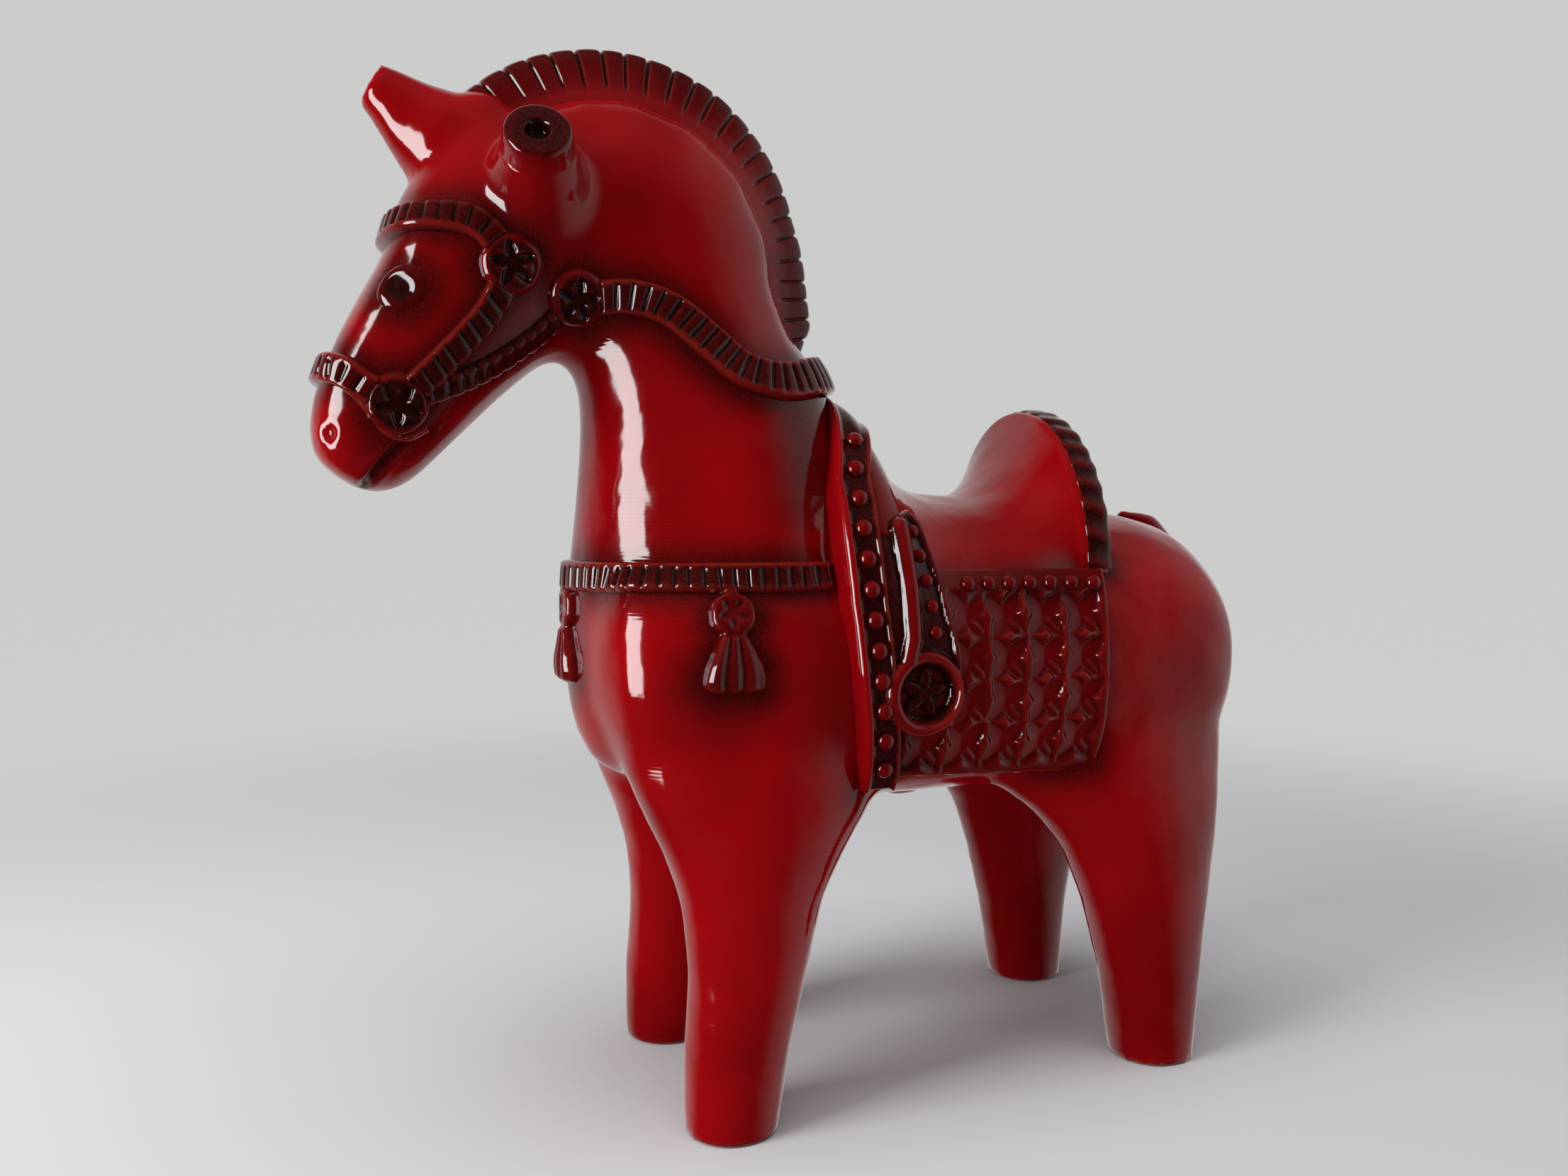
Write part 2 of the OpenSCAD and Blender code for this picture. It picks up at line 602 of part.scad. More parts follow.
// Saddle: [distance back, height of its top line] over the barrel
seat_line = [[-18, pommel_z - 2], [0, pommel_z], [6, pommel_z - 1.5], [11, pommel_z - 8],
    [15, pommel_z - 16], [22, seat_z + 7], [33, seat_z + 1.5], [48, seat_z],
    [61, seat_z + 1], [70, seat_z + 4], [76, seat_z + 10], [cantle_reach + 3, seat_z + 20],
    [cantle_reach + 8, seat_z + 20]];
function saddle_drop() = mid_height - belly_height + saddle_rise;
function saddle_ring(x, top, grow, count) = [for (i = [0 : count - 1]) let(
    turn = 360 * i / count,
    upper = cos(turn) > 0,
    e = upper ? 1 : belly_fullness,
    tall = upper ? top - mid_height : saddle_drop())
    [x, (saddle_half + grow) * signed_power(sin(turn), e), mid_height + (tall + grow) * signed_power(cos(turn), e)]];
module saddle_form(grow = 0) skin([for (p = seat_line) saddle_ring(p.x, p.y, grow, 32)]);

// Half width of the saddle at a place in side view, and the way out from it
function top_at(x, i = 0) = i >= len(seat_line) - 2 || x <= seat_line[i + 1].x
    ? lookup(x, [seat_line[i], seat_line[i + 1]]) : top_at(x, i + 1);
function saddle_y(x, z, grow) = let(
    upper = z > mid_height,
    e = upper ? 1 : belly_fullness,
    share = abs(z - mid_height) / ((upper ? top_at(x) - mid_height : saddle_drop()) + grow))
    (saddle_half + grow) * pow(max(1 - pow(share, 2 / e), 0), e / 2);
function saddle_tilt(x, z, grow) = atan2(saddle_y(x, z - 1, grow) - saddle_y(x, z + 1, grow), 2);

module border_strip() strip(border_path, border_width);
module behind_border() polygon(concat(border_path, [[ROOM, 0], [ROOM, ROOM]]));

module saddle_border(side) color(DARK) one_mesh() mirrored(side) difference() {
    intersection() {
        saddle_form(border_rise);
        across() border_strip();
        left_half();
    }
    body_form();
}

module saddle_seat() color(RED) one_mesh() difference() {
    intersection() {
        saddle_form();
        across() difference() {
            behind_border();
            border_strip();
        }
        translate([-ROOM + cantle_reach, -ROOM / 2, cloth_top_z]) cube([ROOM, ROOM, ROOM]);
    }
    body_form();
}

// Cloth: a slab on each side, with rows of stars pressed in where no stirrup lies
ring_spot = [15.5, down_cloth(36)];
strap_path = [[15, cloth_top_z + 12], [16.5, down_cloth(8)], ring_spot];
function clear_of_stirrup(p) = norm(p - ring_spot) > (stirrup_ring_d + star_d) / 2 + 0.5
    && !(p.y > ring_spot.y && abs(p.x - strap_path[1].x) < (stirrup_strap_width + star_d) / 2 + 1);
module pressed_stars() for (i = [0 : star_columns - 1], j = [0 : star_rows - 1]) let(
    p = [cloth_reach - 9.5 - i * star_pitch, cloth_hem_z + 11 + j * star_pitch])
    if (clear_of_stirrup(p) && p.y + star_d / 2 < cloth_top_z - bead_d) translate(p) rotate(45) star(4, star_d, 0.4);
module saddle_cloth(side) color(DARK) one_mesh() mirrored(side) difference() {
    intersection() {
        saddle_form();
        across() difference() {
            intersection() {
                behind_border();
                translate([-ROOM + cloth_reach, cloth_hem_z]) square([ROOM, cloth_top_z - cloth_hem_z]);
            }
            border_strip();
        }
        left_half();
    }
    body_form();
    difference() {
        across() pressed_stars();
        saddle_form(-star_press);
        body_form(star_floor);
    }
}

// Cantle: an upright arch behind the seat, dished to the front, with a ribbed rim
cantle_foot = cloth_top_z;
module arch(shrink) intersection() {
    translate([0, cantle_foot]) scale([cantle_width / 2 - shrink, cantle_z - cantle_foot - shrink])
        circle(r = 1, $fn = 48);
    translate([-ROOM / 2, cantle_foot]) square(ROOM);
}
module upright(x, thickness) translate([x, 0, 0]) rotate([90, 0, 90]) linear_extrude(thickness) children();
module saddle_cantle() color(RED) one_mesh() difference() {
    upright(cantle_reach, cantle_thickness - 2) arch(rim_width);
    body_form();
    translate([cantle_reach - 24, 0, cantle_z - 10]) scale([28, 34, 36]) sphere(r = 1, $fn = 32);
}
module cantle_rim() color(DARK) one_mesh() difference() {
    upright(cantle_reach, cantle_thickness) difference() {
        arch(0);
        arch(rim_width);
    }
    body_form();
    for (i = [1 : rim_ribs - 1]) let(a = 180 * i / rim_ribs, deep = rim_reach(a) - rim_groove_depth)
        translate([cantle_reach - 1, 0, cantle_foot]) rotate([90 - a, 0, 0])
            translate([0, -rim_groove / 2, deep]) cube([cantle_thickness + 2, rim_groove, ROOM]);
}
// Distance from the arch's foot out to its rim at an angle
function rim_reach(a) = let(w = cantle_width / 2, h = cantle_z - cantle_foot)
    w * h / sqrt(pow(h * cos(a), 2) + pow(w * sin(a), 2));

// Beads: small domes set on the saddle's sides, clear of its facets by a film of slip
slip = 0.4;
module bead_on(x, z, rise) for (side = [LEFT, RIGHT])
    mirrored(side) translate([x, -saddle_y(x, z, rise), z]) rotate([90 - saddle_tilt(x, z, rise), 0, 0])
        translate([0, 0, slip]) intersection() {
            sphere(d = bead_d, $fn = 32);
            cylinder(d = 2 * bead_d, h = bead_d);
        }
border_bead_low = cloth_hem_z + 7;
border_bead_high = pommel_z - 22;
module border_beads() color(DARK) for (i = [0 : border_bead_count - 1]) let(
    z = border_bead_low + (border_bead_high - border_bead_low) * i / (border_bead_count - 1),
    x = lookup(z, [for (p = backwards(border_path)) [p.y, p.x]]))
    bead_on(x, z, border_rise);
module cloth_beads() color(DARK) for (i = [0 : cloth_bead_count - 1])
    bead_on(cloth_reach - 5 - i * (cloth_reach - 30) / cloth_bead_count, cloth_top_z - bead_d / 2 - 0.6, 0);

// Stirrup strap and ring, laid over the saddle and its cloth
module stirrup_strap(side) color(DARK) one_mesh() mirrored(side) difference() {
    intersection() {
        saddle_form(stirrup_rise);
        across() {
            strip(strap_path, stirrup_strap_width);
            translate(strap_path[0]) circle(d = stirrup_strap_width, $fn = 24);
        }
        left_half();
    }
    saddle_form();
    body_form();
    across() translate(ring_spot) circle(d = stirrup_ring_d, $fn = 32);
    across() border_strip();
}
module stirrup_beads() color(DARK) for (i = [1 : stirrup_bead_count]) let(
    at = along(strap_path, (i - 0.5) * (run_length(strap_path) - stirrup_ring_d / 2) / stirrup_bead_count)[0])
    bead_on(at.x, at.y, stirrup_rise);
module stirrup_ring(side) color(DARK) one_mesh() mirrored(side) difference() {
    intersection() {
        saddle_form(stirrup_ring_rise);
        across() translate(ring_spot) circle(d = stirrup_ring_d, $fn = 32);
        left_half();
    }
    saddle_form();
    difference() {
        across() translate(ring_spot) circle(d = stirrup_ring_d - 2 * stirrup_ring_edge, $fn = 32);
        saddle_form(stirrup_ring_rise - stirrup_dish);
    }
    across() border_strip();
}

torso();
neck();
head();
forelock();
ear(LEFT);  // left_ear
ear(RIGHT);  // right_ear
mane();
tail();
leg(true, LEFT);  // front_left_leg
leg(true, RIGHT);  // front_right_leg
leg(false, LEFT);  // hind_left_leg
leg(false, RIGHT);  // hind_right_leg
eye(LEFT);  // left_eye
eye(RIGHT);  // right_eye
browband();
noseband();
cheek_strap(LEFT);  // left_cheek_strap
cheek_strap(RIGHT);  // right_cheek_strap
jaw_strap(LEFT);  // left_jaw_strap
jaw_strap(RIGHT);  // right_jaw_strap
rosette(brow_spot, LEFT);  // left_brow_rosette
rosette(brow_spot, RIGHT);  // right_brow_rosette
rosette(jaw_spot, LEFT);  // left_jaw_rosette
rosette(jaw_spot, RIGHT);  // right_jaw_rosette
rosette(bit_spot, LEFT);  // left_bit_rosette
rosette(bit_spot, RIGHT);  // right_bit_rosette
rein(LEFT);  // left_rein
rein(RIGHT);  // right_rein
breast_strap();
centre_tassel();
side_tassel(LEFT);  // left_tassel
side_tassel(RIGHT);  // right_tassel
saddle_seat();
saddle_cantle();
cantle_rim();
saddle_border(LEFT);  // left_saddle_border
saddle_border(RIGHT);  // right_saddle_border
border_beads();
saddle_cloth(LEFT);  // left_saddle_cloth
saddle_cloth(RIGHT);  // right_saddle_cloth
cloth_beads();
stirrup_strap(LEFT);  // left_stirrup_strap
stirrup_strap(RIGHT);  // right_stirrup_strap
stirrup_beads();
stirrup_ring(LEFT);  // left_stirrup_ring
stirrup_ring(RIGHT);  // right_stirrup_ring
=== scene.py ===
"""A glazed ceramic horse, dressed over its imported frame."""

import json
import math

import bpy
import numpy as np
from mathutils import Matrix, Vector
from mathutils.bvhtree import BVHTree
from mathutils.kdtree import KDTree

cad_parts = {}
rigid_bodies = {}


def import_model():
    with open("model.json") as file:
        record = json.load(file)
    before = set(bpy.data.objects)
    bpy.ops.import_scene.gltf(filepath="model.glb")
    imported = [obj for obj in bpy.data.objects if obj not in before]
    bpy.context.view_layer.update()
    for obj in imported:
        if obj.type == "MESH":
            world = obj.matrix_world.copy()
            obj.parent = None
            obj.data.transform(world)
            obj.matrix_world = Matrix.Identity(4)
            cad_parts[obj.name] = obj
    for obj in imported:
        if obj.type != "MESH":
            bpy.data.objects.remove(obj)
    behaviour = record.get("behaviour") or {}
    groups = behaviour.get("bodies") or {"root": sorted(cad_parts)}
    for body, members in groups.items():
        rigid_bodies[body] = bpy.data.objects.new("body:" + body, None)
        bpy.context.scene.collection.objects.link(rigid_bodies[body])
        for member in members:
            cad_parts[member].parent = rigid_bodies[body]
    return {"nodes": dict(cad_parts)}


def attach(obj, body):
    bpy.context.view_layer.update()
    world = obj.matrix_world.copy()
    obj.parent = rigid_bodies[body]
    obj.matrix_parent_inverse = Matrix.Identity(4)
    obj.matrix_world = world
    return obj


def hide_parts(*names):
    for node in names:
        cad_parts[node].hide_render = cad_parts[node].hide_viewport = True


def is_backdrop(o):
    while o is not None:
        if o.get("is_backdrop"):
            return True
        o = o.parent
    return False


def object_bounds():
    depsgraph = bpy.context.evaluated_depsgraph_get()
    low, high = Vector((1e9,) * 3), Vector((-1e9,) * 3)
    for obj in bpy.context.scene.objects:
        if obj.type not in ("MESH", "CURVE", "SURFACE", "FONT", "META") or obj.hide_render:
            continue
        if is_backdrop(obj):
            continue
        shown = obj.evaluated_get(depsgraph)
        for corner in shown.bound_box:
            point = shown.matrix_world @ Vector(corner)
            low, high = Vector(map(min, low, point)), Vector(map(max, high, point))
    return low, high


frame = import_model()
cad_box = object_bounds()

# Floor and daylight: a plain pale floor that runs out into a plain pale backdrop,
# with one tall soft window past the horse's nose and a wide fill from above.
# The camera stands close by on the horse's left, a little in front, with a short lens.
scene = bpy.context.scene
scene.view_settings.view_transform = "Standard"


class Field:
    """One socket of a node tree; sums on it add Math nodes."""

    def __init__(self, tree, socket=None):
        self.tree = tree
        self.socket = socket

    def node(self, kind, settings=None, inputs=None, out=0):
        """Adds a node, sets it up first, then gives its sockets their values or links."""
        made = self.tree.nodes.new(kind)
        for label, value in (settings or {}).items():
            setattr(made, label, value)
        for label, value in (inputs or {}).items():
            if isinstance(value, Field):
                self.tree.links.new(value.socket, made.inputs[label])
            else:
                made.inputs[label].default_value = value
        return Field(self.tree, made.outputs[out])

    def sum(self, operation, first, second=0.0, clamp=False):
        settings = {"operation": operation, "use_clamp": clamp}
        return self.node("ShaderNodeMath", settings, {0: first, 1: second})

    def __add__(self, other):
        return self.sum("ADD", self, other)

    __radd__ = __add__

    def __sub__(self, other):
        return self.sum("SUBTRACT", self, other)

    def __rsub__(self, other):
        return self.sum("SUBTRACT", other, self)

    def __mul__(self, other):
        return self.sum("MULTIPLY", self, other)

    __rmul__ = __mul__

    def clamped(self):
        return self.sum("ADD", self, 0.0, True)

    def between(self, low, high):
        """0 below low, 1 above high, eased in between."""
        settings = {"interpolation_type": "SMOOTHSTEP"}
        return self.node("ShaderNodeMapRange", settings, {0: self, 1: low, 2: high})

    def blend(self, one, other):
        """A colour between two, by this field."""
        settings = {"data_type": "RGBA"}
        return self.node("ShaderNodeMix", settings, {0: self, 6: one, 7: other}, 2)

    def feed(self, shader, label):
        """Links this field to one of a shader's inputs."""
        self.tree.links.new(self.socket, shader.inputs[label])


def new_material(name):
    """A material with its Principled shader, and the tree to build on."""
    material = bpy.data.materials.new(name)
    material.use_nodes = True
    tree = material.node_tree
    return material, tree.nodes["Principled BSDF"], Field(tree)


backdrop = (0.60, 0.605, 0.595, 1.0)
pale_floor = (0.68, 0.68, 0.685, 1.0)
near_black = (0.02, 0.02, 0.02, 1.0)
black = (0.0, 0.0, 0.0, 1.0)
bpy.ops.mesh.primitive_plane_add(size=8.0)
floor = bpy.context.object
floor.name = "floor"
paint, shader, field = new_material("floor paint")
place = field.node("ShaderNodeTexCoord", out="Object")
far = field.node("ShaderNodeVectorMath", {"operation": "LENGTH"}, {0: place}, "Value")
seen = field.node("ShaderNodeLightPath", out="Is Camera Ray")
fade = far.between(0.30, 0.85) * seen
fade.blend(pale_floor, near_black).feed(shader, "Base Color")
fade.blend(black, backdrop).feed(shader, "Emission Color")
shader.inputs["Emission Strength"].default_value = 1.0
shader.inputs["Specular IOR Level"].default_value = 0.0
floor.data.materials.append(paint)
floor.visible_glossy = False
floor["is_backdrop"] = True

world = bpy.data.worlds.new("white room")
scene.world = world
world.use_nodes = True
room = Field(world.node_tree)
seen = room.node("ShaderNodeLightPath", out="Is Camera Ray")
seen = (seen + room.node("ShaderNodeLightPath", out="Is Transmission Ray")).clamped()
shine = room.node("ShaderNodeLightPath", out="Is Glossy Ray")
direction = room.node("ShaderNodeTexCoord", out="Generated")
right, behind, above = (room.node("ShaderNodeSeparateXYZ", inputs={0: direction}, out=axis) for axis in "XYZ")
sheen = behind.between(0.2, 0.8) * 0.58 + right.between(0.4, 0.98) * 0.42 + above.between(0.3, 0.95) * 0.05
walls = (sheen + 0.01).clamped().blend(black, (1.0, 0.98, 0.97, 1.0))
fill = above.between(-0.2, 0.9).blend((0.22, 0.22, 0.225, 1.0), (0.36, 0.36, 0.37, 1.0))
shown = seen.blend(shine.blend(fill, walls), backdrop)
shown.feed(world.node_tree.nodes["Background"], "Color")

for label, place, size, watts, only in (
    ("window past the nose", (-0.95, -0.20, 0.55), (0.42, 0.55), 7.5, "diffuse"),
    ("that window in the glaze", (-1.00, -0.27, 0.24), (0.42, 0.76), 11.5, "glossy"),
    ("soft fill from above", (-0.10, -0.15, 1.20), (0.90, 0.70), 6.0, "diffuse"),
):
    bpy.ops.object.light_add(type="AREA", location=place)
    lamp = bpy.context.object
    lamp.name = label
    lamp.visible_camera = False
    lamp.visible_glossy = only == "glossy"
    lamp.visible_diffuse = only == "diffuse"
    lamp.data.shape = "RECTANGLE"
    lamp.data.size = size[0]
    lamp.data.size_y = size[1]
    lamp.data.energy = watts
    away = Vector(place) - Vector((-0.05, 0.0, 0.2))
    lamp.rotation_euler = away.to_track_quat("Z", "Y").to_euler()

bpy.ops.object.camera_add(
    location=(-0.1568, -0.3779, 0.186),
    rotation=(math.radians(87.1), 0.0, math.radians(-21.2)),
)
camera = bpy.context.object
camera.data.sensor_width = 36.0
camera.data.lens = 27.02
camera.data.clip_start = 0.01
scene.camera = camera

# Body, neck, head, legs, ears and forelock: hollow shells of clay, luted together with slip.
# Slip and glaze hide the seams, so the solids are cast together here and their joins eased.
# A clear red glaze lies over it, with brush marks under it, and the four soles are ground flat.
mm = 0.001


def pick(piece):
    """Makes one object the only chosen one."""
    bpy.ops.object.select_all(action="DESELECT")
    piece.select_set(True)
    bpy.context.view_layer.objects.active = piece


def points_of(piece):
    """A piece's points, in millimetres."""
    flat = np.empty(len(piece.data.vertices) * 3)
    piece.data.vertices.foreach_get("co", flat)
    return flat.reshape(-1, 3) / mm


def set_points(piece, points):
    """Moves a piece's points, given in millimetres."""
    piece.data.vertices.foreach_set("co", np.ascontiguousarray(points * mm).ravel())
    piece.data.update()


def apply(piece, kind, **settings):
    """Adds one modifier and applies it."""
    pick(piece)
    modifier = piece.modifiers.new(kind.title(), kind)
    for label, value in settings.items():
        setattr(modifier, label, value)
    bpy.ops.object.modifier_apply(modifier=modifier.name)


def cast(name, nodes):
    """One merged copy of several solids of the frame."""
    bpy.ops.object.select_all(action="DESELECT")
    for node in nodes:
        source = frame["nodes"][node]
        twin = bpy.data.objects.new(node + " cast", source.data.copy())
        twin.data.materials.clear()
        scene.collection.objects.link(twin)
        twin.select_set(True)
        bpy.context.view_layer.objects.active = twin
    bpy.ops.object.join()
    piece = bpy.context.object
    piece.name = name
    bpy.ops.object.mode_set(mode="EDIT")
    bpy.ops.mesh.select_all(action="SELECT")
    bpy.ops.mesh.remove_doubles(threshold=0.000002)
    bpy.ops.object.mode_set(mode="OBJECT")
    return piece


def add_to(piece, extra):
    """Joins another object into a piece."""
    pick(piece)
    extra.select_set(True)
    bpy.ops.object.join()


def outer_shell(piece):
    """Keeps the surface that holds the highest point, and drops the hollow inside."""
    pick(piece)
    bpy.ops.object.mode_set(mode="EDIT")
    bpy.ops.mesh.select_all(action="DESELECT")
    bpy.ops.object.mode_set(mode="OBJECT")
    top = int(np.argmax(points_of(piece)[:, 2]))
    piece.data.vertices[top].select = True
    bpy.ops.object.mode_set(mode="EDIT")
    bpy.ops.mesh.select_mode(type="VERT")
    bpy.ops.mesh.select_linked()
    bpy.ops.mesh.select_all(action="INVERT")
    bpy.ops.mesh.delete(type="VERT")
    bpy.ops.object.mode_set(mode="OBJECT")


def ease(piece, rounds):
    """Smooths facets away without drawing the form in."""
    before = points_of(piece)
    apply(piece, "SMOOTH", factor=0.5, iterations=rounds)
    smooth = points_of(piece)
    set_points(piece, before - smooth)
    apply(piece, "SMOOTH", factor=0.5, iterations=rounds)
    set_points(piece, smooth + points_of(piece))


def plug(piece, place, radius, depth):
    """Joins an upright cylinder to a piece."""
    spot = [value * mm for value in place]
    bpy.ops.mesh.primitive_cylinder_add(vertices=48, radius=radius * mm, depth=depth * mm, location=spot)
    bpy.ops.object.transform_apply()
    add_to(piece, bpy.context.object)


def ball(piece, place, radius):
    """Joins a sphere to a piece."""
    spot = [value * mm for value in place]
    bpy.ops.mesh.primitive_ico_sphere_add(subdivisions=4, radius=radius * mm, location=spot)
    bpy.ops.object.transform_apply()
    add_to(piece, bpy.context.object)


legs = ["front_left_leg", "front_right_leg", "hind_left_leg", "hind_right_leg"]
body = cast("glazed_body", ["torso", "neck", "head", *legs])
vent_x = 35.0
plug(body, (vent_x, 0.0, 96.0), 6.0, 12.0)
for x, y in ((-42.5, -38.0), (-42.5, 38.0), (114.0, -41.0), (114.0, 41.0)):
    plug(body, (x, y, -8.0), 14.4, 18.0)
apply(body, "REMESH", mode="VOXEL", voxel_size=3.0 * mm)
outer_shell(body)
ease(body, 20)

ear_root = np.array([-93.0, 0.0, 274.5])
ear_axis = np.array([-0.147, -0.879, 0.454])
ear_axis /= np.linalg.norm(ear_axis)
tips = cast("ears_and_forelock", ["left_ear", "right_ear", "forelock"])
for side in (1.0, -1.0):
    ball(tips, ear_root + 24.0 * ear_axis * (1.0, side, 1.0), 12.5)
ball(tips, (-111.0, 0.0, 305.0), 14.5)
add_to(body, tips)
apply(body, "REMESH", mode="VOXEL", voxel_size=1.7 * mm)
outer_shell(body)
apply(body, "SMOOTH", factor=0.5, iterations=3)
ease(body, 5)
pick(body)
bpy.ops.object.mode_set(mode="EDIT")
bpy.ops.mesh.select_all(action="SELECT")
bpy.ops.mesh.bisect(plane_co=(0, 0, 0), plane_no=(0, 0, 1), use_fill=True, clear_inner=True)
bpy.ops.object.mode_set(mode="OBJECT")


def refine(piece, chosen, cuts):
    """Splits the faces between chosen points, for finer work there."""
    pick(piece)
    bpy.ops.object.mode_set(mode="EDIT")
    bpy.ops.mesh.select_all(action="DESELECT")
    bpy.ops.object.mode_set(mode="OBJECT")
    piece.data.vertices.foreach_set("select", chosen)
    bpy.ops.object.mode_set(mode="EDIT")
    bpy.ops.mesh.subdivide(number_cuts=cuts)
    bpy.ops.mesh.vertices_smooth(factor=0.5, repeat=4)
    bpy.ops.object.mode_set(mode="OBJECT")


def from_line(x, z, knots):
    """Distance from a side-view path."""
    best = np.full(x.shape, 1e9)
    for (ax, az), (bx, bz) in zip(knots, knots[1:]):
        share = ((x - ax) * (bx - ax) + (z - az) * (bz - az)) / ((bx - ax) ** 2 + (bz - az) ** 2)
        share = np.clip(share, 0.0, 1.0)
        best = np.minimum(best, np.hypot(x - ax - share * (bx - ax), z - az - share * (bz - az)))
    return best


def by_ear(points):
    """How far points lie along the axis of the ear on their side, and how far off it."""
    reach = points - ear_root
    reach[:, 1] = -np.abs(reach[:, 1])
    along = reach @ ear_axis
    return along, np.linalg.norm(reach - along[:, None] * ear_axis, axis=1)


def swell(distance, reach):
    """1 on the spot, falling away smoothly over the reach."""
    return np.exp(-((distance / reach) ** 2))


along, aside = by_ear(points_of(body))
pick(body)
body.data.vertices.foreach_set("select", (along > 12.0) & (along < 35.0) & (aside < 34.0))
bpy.ops.object.mode_set(mode="EDIT")
bpy.ops.mesh.vertices_smooth(factor=0.5, repeat=12)
bpy.ops.object.mode_set(mode="OBJECT")
corners = points_of(body)
along, aside = by_ear(corners)
ear_cut = 42.3
over = np.where(aside < 14.0, np.maximum(along - ear_cut, 0.0), 0.0)
corners[:, 0] -= over * ear_axis[0]
corners[:, 1] += over * ear_axis[1] * np.sign(corners[:, 1])
corners[:, 2] -= over * ear_axis[2]
behind = np.maximum(corners[:, 0] + 158.0 - 0.457 * (corners[:, 2] - 230.0), 0.0)
face = np.interp(corners[:, 2], [222.0, 232.0, 268.0, 282.0], [0.0, 1.0, 1.0, 0.0])
corners[:, 1] *= 1.0 + 0.5 * face * np.exp(-((behind / 9.0) ** 1.2))
set_points(body, corners)
x, y, z = corners.T
belly_height = 110.0
muzzle = (x < -127.0) & (z < 226.0)
refine(body, muzzle | ((np.hypot(x - vent_x, y) < 12.0) & (z < belly_height)), 2)
corners = points_of(body)
facing = np.empty(corners.size)
body.data.vertices.foreach_get("normal", facing)
x, y, z = corners.T
nostril = np.sqrt((x + 155.5) ** 2 + (np.abs(y) - 12.3) ** 2 + (z - 213.4) ** 2)
slit = from_line(x, z, [(-135.5, 212.0), (-139.2, 207.7), (-143.0, 203.0), (-149.0, 195.0)])
slit = slit + 30.0 * ((x > -120.0) | (z > 226.0))
lift = 0.2 * swell(nostril - 3.6, 1.8) - 1.4 * swell(nostril, 2.2)
flank = np.clip((np.abs(y) - 3.0) / 4.0, 0.0, 1.0)
lift = lift + flank * (0.35 * swell(slit - 2.4, 1.2) - 1.3 * swell(slit, 1.0))
vent = np.hypot(x - vent_x, y) + 30.0 * (z > belly_height)
vent = np.clip(4.6 - vent, 0.0, 1.0)
lift = lift - 4.5 * vent
set_points(body, corners + facing.reshape(-1, 3) * lift[:, None])
# Painted shade: the mouth slit, the nostrils and the inside of the belly vent are darkened in the colour.
mouth_shade = 0.8 * swell(slit, 2.6) + 0.25 * swell(nostril, 3.0) + 0.9 * vent

red = (0.33, 0.0016, 0.0035, 1.0)
deep_red = (0.125, 0.0008, 0.0016, 1.0)
stain_brown = (0.016, 0.0026, 0.0018, 1.0)
worn_edge_and_highlight = (0.38, 0.06, 0.032, 1.0)
bare_clay = (0.60, 0.47, 0.37, 1.0)


def glaze(name, depth, brushed):
    """Clear gloss over red slip: speckled brown stain in the hollows, with painted shade on the body, and thin
    tan where edges show through, with a painted highlight beside the mane's cuts.
    """
    material, shader, field = new_material(name)
    place = field.node("ShaderNodeTexCoord", out="Object")
    stain, rub, bare = (
        field.node("ShaderNodeAttribute", {"attribute_name": label}, out="Fac")
        for label in ("stain", "rub", "bare")
    )
    cloud = field.node("ShaderNodeTexNoise", inputs={"Vector": place, "Scale": 14.0, "Detail": 3.0})
    speck = field.node("ShaderNodeTexNoise", inputs={"Vector": place, "Scale": 1500.0, "Detail": 2.0})
    pool = cloud.between(0.42, 0.68) * 0.5 + depth
    swim = field.node("ShaderNodeTexNoise", inputs={"Vector": place, "Scale": 42.0, "Detail": 1.0})
    dimple = field.node("ShaderNodeTexNoise", inputs={"Vector": place, "Scale": 170.0, "Detail": 1.0})
    relief = swim + dimple * 0.10
    if brushed:
        waver = {"Vector": place, "Scale": 260.0, "Distortion": 3.0, "Detail": 1.0, "Detail Scale": 0.25}
        lines = field.node("ShaderNodeTexWave", {"bands_direction": "Z"}, waver)
        patch = field.node("ShaderNodeTexNoise", inputs={"Vector": place, "Scale": 22.0})
        strokes = lines * patch.between(0.52, 0.66)
        relief = relief + strokes * 0.009
        pool = pool + strokes * 0.18
    colour = pool.clamped().blend(red, deep_red)
    # Darkening towards stain brown: real stain, and on the body also painted shade.
    darkening = (stain * 1.1 + (speck - 0.52) * stain * 1.3).clamped()
    colour = darkening.blend(colour, stain_brown)
    # Tan towards the edges: worn glaze, and on the mane a painted highlight beside each cut.
    colour = (rub * 0.7).clamped().blend(colour, worn_edge_and_highlight)
    colour = bare.blend(colour, bare_clay)
    colour.feed(shader, "Base Color")
    bump = field.node("ShaderNodeBump", None, {"Strength": 1.0, "Distance": 0.0013, "Height": relief})
    bump.feed(shader, "Normal")
    shader.inputs["IOR"].default_value = 1.56
    shader.inputs["Roughness"].default_value = 0.09
    return material


def mark(piece, **values):
    """Gives a piece its stain and painted shade, its worn edge and painted highlight, or its bare clay, point
    by point.
    """
    for label, numbers in values.items():
        layer = piece.data.attributes.new(label, "FLOAT", "POINT")
        layer.data.foreach_set("value", np.ascontiguousarray(numbers, dtype=np.float32).ravel())


red_glaze = glaze("red glaze", 0.0, True)
body.data.materials.append(red_glaze)
pick(body)
bpy.ops.object.shade_smooth()
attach(body, "root")
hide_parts("torso", "neck", "head", *legs, "forelock", "left_ear", "right_ear")

corners = points_of(body)
faces = [list(polygon.vertices) for polygon in body.data.polygons]
skin = BVHTree.FromPolygons(corners.tolist(), faces)
stained = []

# Bridle straps, reins and breast strap: coils of clay pressed on and notched with a tool.
# They are stained dark in the notches and rubbed back along the edges before glazing.


def tile(name, points):
    """A sheet of quads through a grid of points."""
    rows, columns = points.shape[:2]
    bpy.ops.mesh.primitive_grid_add(x_subdivisions=columns - 1, y_subdivisions=rows - 1)
    piece = bpy.context.object
    piece.name = name
    set_points(piece, points.reshape(-1, 3))
    return piece


